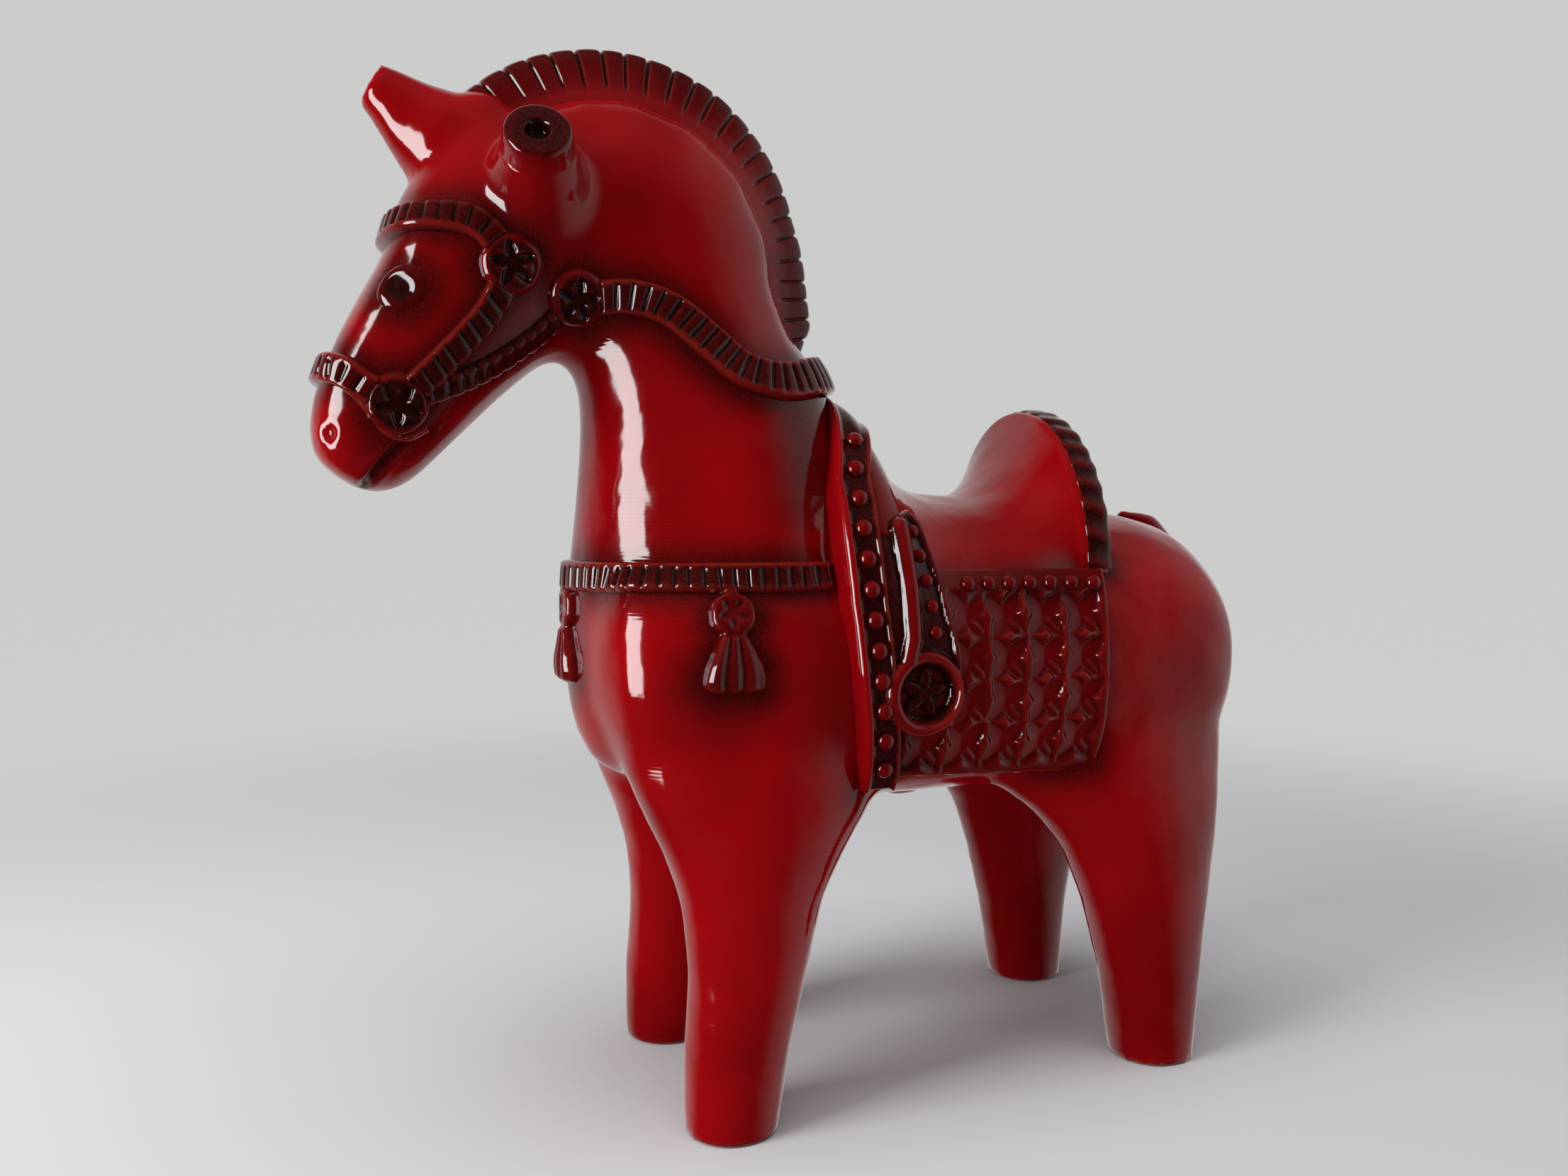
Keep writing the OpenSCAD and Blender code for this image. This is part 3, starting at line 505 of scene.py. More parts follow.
def blur(values, reach):
    """Box average of a grid over some cells each way."""
    for axis in (0, 1):
        pad = [(0, 0)] * values.ndim
        pad[axis] = (reach, reach)
        wide = np.pad(values, pad, mode="edge")
        span = np.arange(values.shape[axis])
        values = sum(np.take(wide, span + k, axis) for k in range(2 * reach + 1))
        values = values / (2 * reach + 1)
    return values


def unit(vectors):
    """Vectors of length 1."""
    return vectors / np.maximum(np.linalg.norm(vectors, axis=-1, keepdims=True), 1e-9)


def step(low, high, value):
    """Eased 0 to 1 between two limits."""
    share = np.clip((value - low) / (high - low), 0.0, 1.0)
    return share * share * (3.0 - 2.0 * share)


def landed(points):
    """The nearest points on the body's skin."""
    flat = points.reshape(-1, 3)
    return np.array([skin.find_nearest(p)[0] for p in flat.tolist()]).reshape(points.shape)


def struck(start, aim):
    """Where a line from outside first meets the skin."""
    hit = skin.ray_cast(tuple(start), tuple(aim))[0]
    return np.array(hit) if hit else None


def press(name, base, lift, out, dark, rub=None, wall=1.2):
    """A relief: a grid of skin points raised by its lift, walled and marked for stain."""
    crest = lift - blur(lift, 3)
    hollow = np.clip(-crest / 0.5, 0.0, 1.0)
    edge = 0.16 * np.clip((crest - 0.3) / 0.6, 0.0, 1.0) if rub is None else rub
    shade = np.clip(dark + (0.3 * hollow - edge if rub is None else 0.0), 0.0, 1.0)
    across = np.gradient(base, axis=1)
    along = np.gradient(base, axis=0)
    normal = unit(blur(unit(np.cross(across, along)), 3))
    if np.sum(normal * out) < 0:
        normal = -normal
        base = base[:, ::-1]
        normal = normal[:, ::-1]
        lift = lift[:, ::-1]
        edge = edge[:, ::-1]
        shade = shade[:, ::-1]
    points = base + normal * lift[..., None]
    piece = tile(name, points)
    mark(piece, stain=shade, rub=edge)
    stained.append(points[::3, ::3].reshape(-1, 3)[(lift[::3, ::3] > -0.3).ravel()])
    apply(piece, "SOLIDIFY", thickness=wall * mm, offset=-1.0)
    bpy.ops.object.shade_smooth()
    return piece


def right_twin(piece, name):
    """The mirror image across the horse's middle."""
    twin = bpy.data.objects.new(name, piece.data.copy())
    scene.collection.objects.link(twin)
    points = points_of(twin)
    points[:, 1] *= -1.0
    set_points(twin, points)
    pick(twin)
    bpy.ops.object.mode_set(mode="EDIT")
    bpy.ops.mesh.select_all(action="SELECT")
    bpy.ops.mesh.flip_normals()
    bpy.ops.object.mode_set(mode="OBJECT")
    stained.append(points[::9])
    return twin


def dress(piece, material, slot, *nodes):
    """Gives a piece its material, attaches it to the root, and hides the solids it stands for."""
    piece.data.materials.clear()
    piece.data.materials.append(material)
    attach(piece, "root")
    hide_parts(*nodes)


def dress_pair(piece, label, material, slot, *nodes):
    """Dresses a piece on the left and its mirror image on the right."""
    dress(piece, material, slot, *["left_" + node for node in nodes])
    dress(right_twin(piece, "right_" + label), material, slot, *["right_" + node for node in nodes])


def curve(knots, count):
    """An even run of points on a smooth curve through the knots."""
    knots = np.asarray(knots, float)
    ends = np.vstack([2 * knots[0] - knots[1], knots, 2 * knots[-1] - knots[-2]])
    run = []
    for a, b, c, d in zip(ends, ends[1:], ends[2:], ends[3:]):
        for t in np.linspace(0.0, 1.0, 24, endpoint=False):
            run.append(0.5 * (2 * b + (c - a) * t + (2 * a - 5 * b + 4 * c - d) * t**2
                              + (3 * b - a - 3 * c + d) * t**3))
    run.append(knots[-1])
    run = np.array(run)
    far = np.concatenate([[0.0], np.cumsum(np.linalg.norm(np.diff(run, axis=0), axis=1))])
    even = np.linspace(0.0, far[-1], count)
    return np.stack([np.interp(even, far, run[:, k]) for k in range(run.shape[1])], 1)


def side_line(knots):
    """A side-view path laid on the left of the skin."""
    run = [struck((x, -200.0, z), (0.0, 1.0, 0.0)) for x, z in curve(knots, 160)]
    return np.array([p for p in run if p is not None])


def round_line(knots, axis, start, end):
    """A side-view path taken round the body, by angles about an upright axis."""
    path = curve(knots, 200)
    order = np.argsort(path[:, 0])
    run = []
    for turn in np.radians(np.linspace(start, end, 260)):
        aim = np.array([math.cos(turn), math.sin(turn), 0.0])
        z = path[-1, 1]
        hit = None
        for _ in range(5):
            hit = struck(np.array([axis, 0.0, z]) + 150.0 * aim, -aim)
            if hit is None:
                break
            z = np.interp(hit[0], path[order, 0], path[order, 1])
        if hit is not None:
            run.append(hit)
    return np.array(run)


def clear_of(line, *spots):
    """A line without the points that lie under a rosette, seen from the side."""
    for x, z in spots:
        line = line[np.hypot(line[:, 0] - x, line[:, 2] - z) > 7.0]
    return line


def strap_bed(line, width, flare=1.0, pitch=0.5, margin=1.1):
    """The grid of skin points under a strap, with its run, its reach upwards and its outward side."""
    far = np.concatenate([[0.0], np.cumsum(np.linalg.norm(np.diff(line, axis=0), axis=1))])
    run = np.linspace(0.0, far[-1], int(far[-1] / pitch))
    middle = np.stack([np.interp(run, far, line[:, k]) for k in range(3)], 1)
    soft = np.array([skin.find_nearest(p)[1] for p in middle.tolist()])
    soft = unit(blur(soft[:, None, :], 6)[:, 0])
    heading = unit(blur(np.gradient(middle, axis=0)[:, None, :], 4)[:, 0])
    across = unit(np.cross(soft, heading))
    across = across * np.sign(np.mean(across[:, 2]))
    reach = np.linspace(-width / 2 - margin, width / 2 + margin, int(width / 0.45))
    widen = 1.0 + (flare - 1.0) * step(0.3, 1.0, run / far[-1])
    base = landed(middle[:, None] + across[:, None] * reach[None, :, None] * widen[:, None, None])
    base = blur(base, 1)
    return base, run[:, None] + 0.0 * reach, reach[None, :] + 0.0 * run[:, None], soft[:, None]


def strap(name, line, width, rise, pitch, low, high, dark, lean=0.0, flare=1.0):
    """A notched strap: rounded ribs between a plain lower and a plain upper border."""
    base, run, reach, out = strap_bed(line, width, flare)
    half = width / 2
    side = np.clip((np.abs(reach) - (half - 1.5)) / 1.5, 0.0, 1.0)
    shoulder = np.sqrt(1.0 - side**2)
    uneven = 0.3 * np.sin(run * 0.71) + 0.25 * np.sin(run * 0.37 + 1.3)
    phase = np.mod((run + lean * reach + uneven) / pitch, 1.0)
    rib = np.clip(1.0 - (2.0 * np.abs(phase - 0.5)) ** 4, 0.0, 1.0) * (0.8 + 0.2 * phase)
    above = step(half - high - 0.4, half - high + 0.4, reach)
    below = step(low - half + 0.4, low - half - 0.4, reach)
    plain = np.maximum(above, below)
    height = rise * (0.6 + 0.4 * np.maximum(rib, 0.9 * plain))
    lift = np.where(np.abs(reach) > half, -0.8, (height + 0.8) * shoulder - 0.8)
    return press(name, base, lift, out, dark - 0.35 * plain * dark)


dark_glaze = glaze("stained glaze", 0.35, False)
brow_spot = (-105.5, 262.5)
jaw_spot = (-85.5, 255.0)
bit_spot = (-137.0, 222.0)

brow_knots = [brow_spot, (-114.0, 272.5), (-126.0, 275.0), (-146.0, 274.0)]
line = clear_of(round_line(brow_knots, -115.0, -75.0, -285.0), brow_spot)
browband = strap("browband", line, 9.5, 3.0, 4.4, 2.2, 0.0, 0.75)
dress(browband, dark_glaze, "dark_glaze", "browband")

nose_knots = [bit_spot, (-146.0, 227.0), (-153.0, 231.5), (-166.0, 234.0)]
line = clear_of(round_line(nose_knots, -137.0, -92.0, -268.0), bit_spot)
noseband = strap("noseband", line, 9.5, 3.2, 4.4, 2.2, 2.2, 0.7)
lip_knots = [(-156.5, 229.5), (-154.3, 229.0), (-149.2, 225.3), (-145.0, 220.3), (-141.9, 215.9),
             (-138.7, 213.4), (-134.3, 212.7), (-128.7, 215.5)]
lip = strap("left_lip", side_line(lip_knots), 3.2, 1.7, 40.0, 0.0, 0.0, 0.35)
add_to(noseband, right_twin(lip, "right_lip"))
add_to(noseband, lip)
dress(noseband, dark_glaze, "dark_glaze", "noseband")

cheek_knots = [brow_spot, (-112.0, 249.0), (-124.0, 235.0), bit_spot]
line = clear_of(side_line(cheek_knots), brow_spot, bit_spot)
cheek = strap("left_cheek_strap", line, 9.0, 3.2, 4.8, 0.0, 1.8, 0.8, 0.25)
dress_pair(cheek, "cheek_strap", dark_glaze, "dark_glaze", "cheek_strap")

jaw_knots = [jaw_spot, (-99.0, 242.5), (-116.0, 231.0), bit_spot]
line = clear_of(side_line(jaw_knots), jaw_spot, bit_spot)
jaw = strap("left_jaw_strap", line, 7.5, 2.6, 4.4, 0.0, 0.0, 0.88, 0.2)
dress_pair(jaw, "jaw_strap", dark_glaze, "dark_glaze", "jaw_strap")

rein_knots = [jaw_spot, (-70.0, 256.0), (-58.0, 252.0), (-47.0, 243.0), (-36.0, 234.5), (-22.0, 232.0),
              (-8.0, 235.0), (14.0, 240.0)]
line = clear_of(round_line(rein_knots, -45.0, -146.0, 0.5), jaw_spot)
rein = strap("left_rein", line, 11.0, 4.0, 4.5, 1.8, 1.6, 0.75, 0.0, 1.3)
dress_pair(rein, "rein", dark_glaze, "dark_glaze", "rein")

breast_knots = [(-95.0, 171.0), (0.0, 171.0)]
breast = strap("breast_strap", round_line(breast_knots, -35.0, -62.0, -298.0), 10.0, 3.0, 4.4, 0.8, 2.2, 0.8)
dress(breast, dark_glaze, "dark_glaze", "breast_strap")

# Rosettes: six buttons of clay where the straps meet, pressed with a star-shaped punch.
# The rim is rubbed bright and the star holds the dark stain.


def bed(x, z, wide, tall, pitch=0.45):
    """A flat grid laid on the left of the skin round one spot, with its two axes."""
    middle = struck((x, -200.0, z), (0.0, 1.0, 0.0))
    turns = np.arange(0, 6.2, 0.5)
    ring = [struck((x + 4 * math.cos(t), -200.0, z + 4 * math.sin(t)), (0.0, 1.0, 0.0)) for t in turns]
    ring = np.array([p for p in ring if p is not None]) - middle
    out = np.linalg.svd(ring)[2][2]
    out = out if out[1] < 0 else -out
    level = unit(np.cross((0.0, 0.0, 1.0), out))
    rise = np.cross(out, level)
    u = np.linspace(-wide / 2, wide / 2, int(wide / pitch))[None, :]
    v = np.linspace(-tall / 2, tall / 2, int(tall / pitch))[:, None]
    u = u + 0.0 * v
    v = v + 0.0 * u
    base = landed(middle + u[..., None] * level + v[..., None] * rise)
    return blur(base, 2), u, v, out


def star(u, v, points, outer, inner, turn, soft=0.6):
    """1 inside a star with hollow sides, 0 outside, eased at the edge."""
    far = np.hypot(u, v)
    angle = np.mod(np.arctan2(v, u) - turn, 2 * np.pi / points)
    corner = np.abs(angle - np.pi / points) / (np.pi / points)
    reach = inner + (outer - inner) * corner**1.15
    return step(soft, -soft, far - reach)


def rosette(name, x, z, turn, dark):
    """A domed button with a dished middle and a star punched in it."""
    base, u, v, out = bed(x, z, 21.0, 21.0)
    far = np.hypot(u, v)
    radius = 9.4
    dome = 4.7 * np.sqrt(np.clip(1.0 - (far / radius) ** 3, 0.0, 1.0)) - 0.8
    dish = step(7.4, 5.8, far)
    punch = star(u, v, 5, 6.8, 2.6, turn, 1.0)
    lift = np.where(far > radius, -0.8, dome - 0.7 * dish - 1.4 * punch)
    shade = dark + 0.2 * punch + 0.15 * dish - 0.3 * step(6.2, 8.0, far) * step(radius, 8.8, far)
    return press(name, base, lift, out, shade)


for label, x, z, turn, dark in (
    ("brow_rosette", *brow_spot, 0.5, 0.6),
    ("jaw_rosette", *jaw_spot, 0.2, 0.7),
    ("bit_rosette", *bit_spot, 0.9, 0.8),
):
    button = rosette("left_" + label, x, z, turn, dark)
    dress_pair(button, label, dark_glaze, "dark_glaze", label)

# Eyes: low domes of clay, dished inside a soft lid and stained nearly black.
# A cloud of stain is sprayed round each.
eye_glaze = glaze("eye glaze", 0.8, False)
base, u, v, out = bed(-136.0, 254.5, 21.0, 18.0, 0.4)
far = np.hypot(u / 5.4, v / 4.6)
lift = 0.9 * swell(far - 1.0, 0.45) + 0.3 * swell(far, 0.45) - 0.7 * step(1.2, 1.8, far)
eye = press("left_eye", base, lift, out, 1.0 - 0.6 * step(0.45, 1.3, far), 0.0 * far)
dress_pair(eye, "eye", eye_glaze, "eye_glaze", "eye")

# Tassels: three pressed sprigs under the breast strap, a knot over a fringed skirt.
# The fringe is scored with a needle and stained.


def tassel_lift(u, v):
    """Heights of a tassel; u runs across and v down from its top."""
    knot = 7.2 * np.clip(1.0 - (np.abs(v - 6.4) / 6.6) ** 2.6, 0.0, 1.0) ** 0.45
    heights = [10.5, 12.5, 17.0, 22.0, 26.0, 28.5, 30.3, 31.2]
    skirt = np.interp(v, heights, [3.0, 4.1, 6.2, 8.6, 9.6, 9.2, 7.4, 4.0])
    skirt = np.where((v < heights[0]) | (v > heights[-1]), 0.0, skirt)
    half = np.maximum(np.maximum(knot, skirt), np.where(v < 3.0, 2.6, 0.0))
    inner = half - np.abs(u)
    rounded = np.sqrt(np.clip(1.0 - np.clip(1.0 - inner / 2.2, 0.0, 1.0) ** 2, 0.0, 1.0))
    tip = step(31.3, 28.6, v)
    lift = np.where(inner > 0, (2.8 + 1.0 * swell(v - 24.5, 6.0)) * rounded * tip, 0.0)
    below = step(12.0, 14.5, v)
    folds = np.cos(u / np.maximum(half, 2.0) * 11.0 + 0.6)
    lift = lift + 0.55 * below * folds * step(0.3, 1.6, inner)
    lift = lift - 1.0 * star(u, v - 6.4, 5, 5.0, 2.2, 0.35) * step(0.5, 2.0, inner)
    tie = np.exp(-(((v - 12.6) / 0.8) ** 2)) * step(0.0, 1.0, inner)
    return blur(np.where(inner > 0, lift - 0.6 * tie, -0.8), 1)


tassel_middle = 151.7
tassel_top = 15.5
base, u, v, out = bed(-45.0, tassel_middle, 22.0, 35.0)
side_tassel = press("left_tassel", base, tassel_lift(u, tassel_top - v), out, np.full(u.shape, 0.5))
dress_pair(side_tassel, "tassel", dark_glaze, "dark_glaze", "tassel")

u = np.linspace(-11.0, 11.0, 49)[None, :] + np.zeros((77, 1))
v = np.linspace(-17.5, 17.5, 77)[:, None] + np.zeros((1, 49))
rows = zip(u, v + tassel_middle)
front = np.array([[struck((-200.0, y, z), (1.0, 0.0, 0.0)) for y, z in zip(*row)] for row in rows])
out = (-1.0, 0.0, 0.0)
lift = tassel_lift(u, tassel_top - v)
middle_tassel = press("centre_tassel", blur(front, 2), lift, out, np.full(u.shape, 0.5))
dress(middle_tassel, dark_glaze, "dark_glaze", "centre_tassel")

# Saddle seat and cantle: a slab of clay draped over the back and swept up behind.
# It is smoothed into one piece by hand, and its upper face is glazed thin and bright.
spine = curve([(-18.0, 227.0), (0.0, 229.0), (6.0, 227.5), (11.0, 221.0), (15.0, 213.0), (22.0, 205.0),
               (33.0, 199.5), (48.0, 198.0), (61.0, 199.0), (70.0, 202.0), (76.0, 208.0), (82.0, 218.0),
               (87.0, 218.0)], 200)
front_edge = np.array([(4.0, 104.5), (1.5, 123.0), (-1.0, 144.0), (-3.0, 163.0), (-3.5, 182.0),
                       (-3.0, 201.0), (2.0, 217.0), (9.0, 234.0)])
widest_height = 143.75
half_width = 55.5
hem_drop = 53.25


def tuck(share):
    """How the saddle's side draws in below its widest height."""
    return (1.0 - share**2.778) ** 0.36


def form(x, turn):
    """A point of the saddle's outside; turn is 0 at the spine and negative on the left."""
    up = np.clip(np.abs(turn), 0.0, np.pi / 2)
    share = np.sin(np.clip(np.abs(turn) - np.pi / 2, 0.0, np.pi / 2))
    top = np.interp(x, spine[:, 0], spine[:, 1])
    y = np.sign(turn) * half_width * np.sin(up) * tuck(share)
    z = widest_height + (top - widest_height) * np.cos(up) - hem_drop * share
    return np.stack([x + 0.0 * turn, y, z], -1)


def side_form(x, z):
    """A point of the saddle's left side at a given height."""
    top = np.interp(x, spine[:, 0], spine[:, 1])
    high = np.sqrt(np.clip(1.0 - ((z - widest_height) / (top - widest_height)) ** 2, 0.0, 1.0))
    low = tuck(np.clip((widest_height - z) / hem_drop, 0.0, 1.0))
    return np.stack([x, -half_width * np.where(z > widest_height, high, low), z], -1)


def front_at(z):
    """Where the saddle's front edge lies at a height."""
    return np.interp(z, front_edge[:, 1], front_edge[:, 0])


def edge_at(turn):
    """Where the saddle's front edge lies for a turn about the spine."""
    x = 0.0 * turn
    for _ in range(4):
        x = front_at(form(x, turn)[..., 2])
    return x


arch_foot = 171.0


def arch(x, turn, grow):
    """A point of the cantle's arch; the turn is 0 at its top and a right angle at its feet."""
    y = (44.6 + grow) * np.sin(turn)
    z = arch_foot + (57.4 + grow) * np.cos(turn)
    return np.stack([x + 0.0 * turn, y, z], -1)


across = np.linspace(1.0, -1.0, 151)[None, :]
turn = across * 1.08
lean = across * np.pi / 2
start = edge_at(turn)
share = np.linspace(0.0, 1.0, 56)[:, None]
seat = form(start + share * (50.0 - start), turn + 0.0 * share)
foot = form(50.0 + 0.0 * turn, turn)
top = arch(79.8, lean, -0.7)
sine = np.sin(lean)
cosine = np.cos(lean)
inward = np.stack([-4.0 - 5.0 * sine**2, -15.0 * sine * cosine, -15.0 * cosine**2], -1)
bend = np.linspace(0.0, 1.0, 46)[1:, None, None]
sweep = (1 - bend) ** 3 * foot + 3 * (1 - bend) ** 2 * bend * (foot + (17.0, 0.0, 0.0))
sweep = sweep + 3 * (1 - bend) * bend**2 * (top + inward) + bend**3 * top
lip_knots = ((80.1, -0.2), (80.6, 0.1), (82.0, 0.3), (85.5, 0.4), (89.0, 0.3), (90.6, 0.0), (91.3, -0.6),
             (91.5, -1.6), (91.5, -4.0))
lip = [arch(x, lean, grow) for x, grow in lip_knots]
middle = np.array([0.0, 0.0, arch_foot])
rear = [middle + (lip[-1] - middle) * (1.0, shrink, shrink) for shrink in np.linspace(0.97, 0.3, 12)]
saddle = tile("saddle", np.concatenate([seat, sweep, *lip, *rear]))
apply(saddle, "SOLIDIFY", thickness=3.5 * mm, offset=-1.0)
bpy.ops.object.shade_smooth()
corners = points_of(saddle)
low = step(182.0, 168.0, corners[:, 2]) * step(84.0, 70.0, corners[:, 0])
fore = step(24.0, 8.0, corners[:, 0])
mark(saddle, stain=np.clip(0.08 + 0.45 * low + 0.4 * fore, 0.0, 0.7))
dress(saddle, red_glaze, "red_glaze", "saddle_seat", "saddle_cantle")

# Cantle rim: a strip of clay bent over the cantle's edge and pressed into soft ribs.
# It is stained dark, and its front edge is set back a little from the cantle's face.
sweep = np.linspace(-1.55, 1.55, 420)[:, None]
section = curve([(82.6, -1.4), (82.8, 0.1), (83.6, 0.8), (86.5, 1.0), (90.2, 0.9), (91.6, 0.2), (92.0, -1.6),
                 (92.0, -5.0)], 30)
depth = section[None, :, 0]
level = section[None, :, 1]
rim_middle = np.array([86.0, 0.0, arch_foot])
base = arch(depth, sweep, level - 0.5)
ribs = sweep / np.pi * 20.0 + 0.1 * np.sin(7.0 * sweep) + 0.04 * (depth - rim_middle[0])
rib = 0.5 - 0.5 * np.cos(2 * np.pi * ribs)
lift = 0.3 + 0.5 * rib * step(-1.2, 0.6, level)
rim = press("cantle_rim", base, lift, base - rim_middle, 0.95 - 0.25 * rib, 0.12 * rib**6)
dress(rim, dark_glaze, "dark_glaze", "cantle_rim")

# Saddle border: the thick front edge of the slab, with a beaded channel between two ridges.
# The edge itself is wiped bright red, and the channel is stained nearly black.
turn = np.linspace(-2.395, 2.395, 560)[:, None]
turned_edge = [-7.2, -7.15, -7.1, -7.0, -6.8, -6.4, -5.9, -5.4]
reach = np.concatenate([turned_edge, np.linspace(-5.0, 6.6, 27)])[None, :]
knots = [(-7.2, -11.0), (-7.15, -7.0), (-7.1, -3.0), (-7.0, -0.5), (-6.8, 0.8), (-6.4, 1.7), (-5.9, 2.3),
         (-5.4, 2.6), (-4.4, 2.6), (-3.8, 2.0), (-3.3, 1.1), (3.6, 1.1), (4.1, 1.9), (4.6, 2.4), (5.1, 2.2),
         (5.8, 0.6), (6.6, -1.0)]
lift = np.interp(reach, [k[0] for k in knots], [k[1] for k in knots]) + 0.0 * turn
base = form(edge_at(turn) + reach, turn + 0.0 * reach)
shade = np.interp(reach, [-7.0, -4.4, -3.4, 3.6, 4.6, 5.6], [0.02, 0.06, 0.85, 0.85, 0.5, 0.75]) + 0.0 * turn
worn = 0.3 * swell(reach - 4.6, 0.4) + 0.22 * swell(reach + 4.1, 0.35) + 0.0 * turn
border = press("saddle_border", base, lift, base - np.array([0.0, 0.0, 140.0]), shade, worn, 1.0)
dress(border, dark_glaze, "dark_glaze", "left_saddle_border", "right_saddle_border")

# Saddle cloth: the flap under the seat on each side, a slab edge showing behind and below.
# Four-pointed stars are punched all over it in rows, with the stain left in them.
stirrup_spot = np.array([15.2, 135.0])
along = np.linspace(0.0, 1.0, 140)[None, :]
down = np.linspace(0.0, 1.0, 126)[:, None]
z = 102.4 + down * (172.6 - 102.4) + 0.0 * along
x = front_at(z) + 4.5 + along * (85.0 - front_at(z) - 4.5)
base = side_form(x, z)
hem = 107.6 - 0.05 * x
inset = np.minimum(np.minimum(84.4 - x, z - hem), 40.0)
lift = 0.5 - 7.0 * step(0.9, -0.6, inset)
marks = 0.0 * x
for column in range(6):
    for row in range(4):
        cx = 74.5 - 14.4 * column
        cz = 116.5 + 14.0 * row
        if row > 0 and column > 3:
            continue
        weight = 0.55 if row > 0 and column == 3 else 1.0
        twist = np.pi / 4 + 0.12 * math.sin(3.0 * column + 5.0 * row)
        slope = 1.0 - 0.45 * np.clip(np.hypot(x - cx, z - cz) / 8.0, 0.0, 1.0)
        marks = np.maximum(marks, weight * slope * star(x - cx, 0.96 * (z - cz), 4, 9.8, 4.6, twist, 1.2))
        notch = from_line(x, z, [(cx + 1.6, cz - 2.0), (cx + 4.6, cz - 5.0)])
        marks = marks - 0.35 * weight * swell(notch, 0.5)
ring = np.hypot(x - stirrup_spot[0], z - stirrup_spot[1])
lift = lift - 3.0 * marks * step(0.0, 2.0, inset) - 3.5 * step(10.6, 9.8, ring)
shade = 0.5 - 0.28 * marks + 0.25 * step(28.0, 12.0, x) - 0.25 * step(1.5, 0.0, inset)
cloth = press("left_saddle_cloth", base, lift, base - np.array([40.0, 0.0, 140.0]), shade)
dress_pair(cloth, "saddle_cloth", dark_glaze, "dark_glaze", "saddle_cloth")

# Stirrup leather and ring: a rounded bar and a thin ridge with beads between,
# running down into one ring with a dished, starred middle, all laid on the flap.
# The bar and the ring are wiped, and the channel and the dish hold the stain.


def roll(distance, half, rise):
    """A rounded bar of clay, seen as heights."""
    height = rise * np.clip(1.0 - (distance / half) ** 2, 0.0, 1.0) ** 0.7
    return np.where(np.abs(distance) < half, height, -3.0)


x = np.linspace(-2.0, 33.0, 76)[None, :] + np.zeros((160, 1))
z = np.linspace(117.0, 193.0, 160)[:, None] + np.zeros((1, 76))
base = side_form(x, z)
u = x - stirrup_spot[0]
v = z - stirrup_spot[1]
ring = np.hypot(u, v)
bar = from_line(x, z, [(9.4, 186.0), (10.4, 165.0), (10.6, 152.0), (9.0, 145.5)])
ridge_knots = [(10.0, 189.0), (13.5, 190.5), (17.5, 187.0), (20.0, 175.0), (22.2, 163.0), (23.4, 156.0),
               (25.2, 150.0), (26.4, 141.0)]
ridge = from_line(x, z, ridge_knots) + 0.25 * np.sin(z * 0.5)
left_edge = np.interp(z, [148.0, 188.0], [11.0, 9.4])
right_edge = np.interp(z, [148.0, 160.0, 175.0, 187.0], [24.6, 22.4, 20.0, 17.5])
channel = (x > left_edge) & (x < right_edge) & (z > 142.0) & (z < 189.5)
lift = np.where(channel, 0.9, -3.0)
lift = np.where((x < left_edge) & (z > 146.0), 0.8 - 1.4 * step(170.0, 190.0, z), lift)
pool = -1.8 + 1.7 * star(u, v, 5, 8.8, 2.8, 0.2, 0.9)
thick = 2.3 - 0.7 * u / np.maximum(ring, 1.0)
lift = np.where(ring < 11.0, pool, lift)
lift = np.maximum(lift, roll(bar, 3.5, 3.8))
lift = np.maximum(lift, roll(ridge, 1.3, 2.7))
ring_radius = 11.4
lift = np.where(ring < 9.0, pool, np.maximum(lift, roll(ring - ring_radius, thick, 3.4)))
wiped = np.maximum(roll(bar, 3.5, 1.0), roll(ring - ring_radius, thick, 1.0))
shade = np.where(ring < 9.6, 0.9 + 0.12 * pool, 0.8) - 0.4 * step(0.5, 0.9, wiped)
stirrup = press("left_stirrup", base, lift, base - np.array([15.0, 0.0, 140.0]), shade)
dress_pair(stirrup, "stirrup", dark_glaze, "dark_glaze", "stirrup_strap", "stirrup_ring")

# Beads: balls of clay pressed into the border, the stirrup leather and the flap's top edge.
# They are wiped so that the crowns show red.


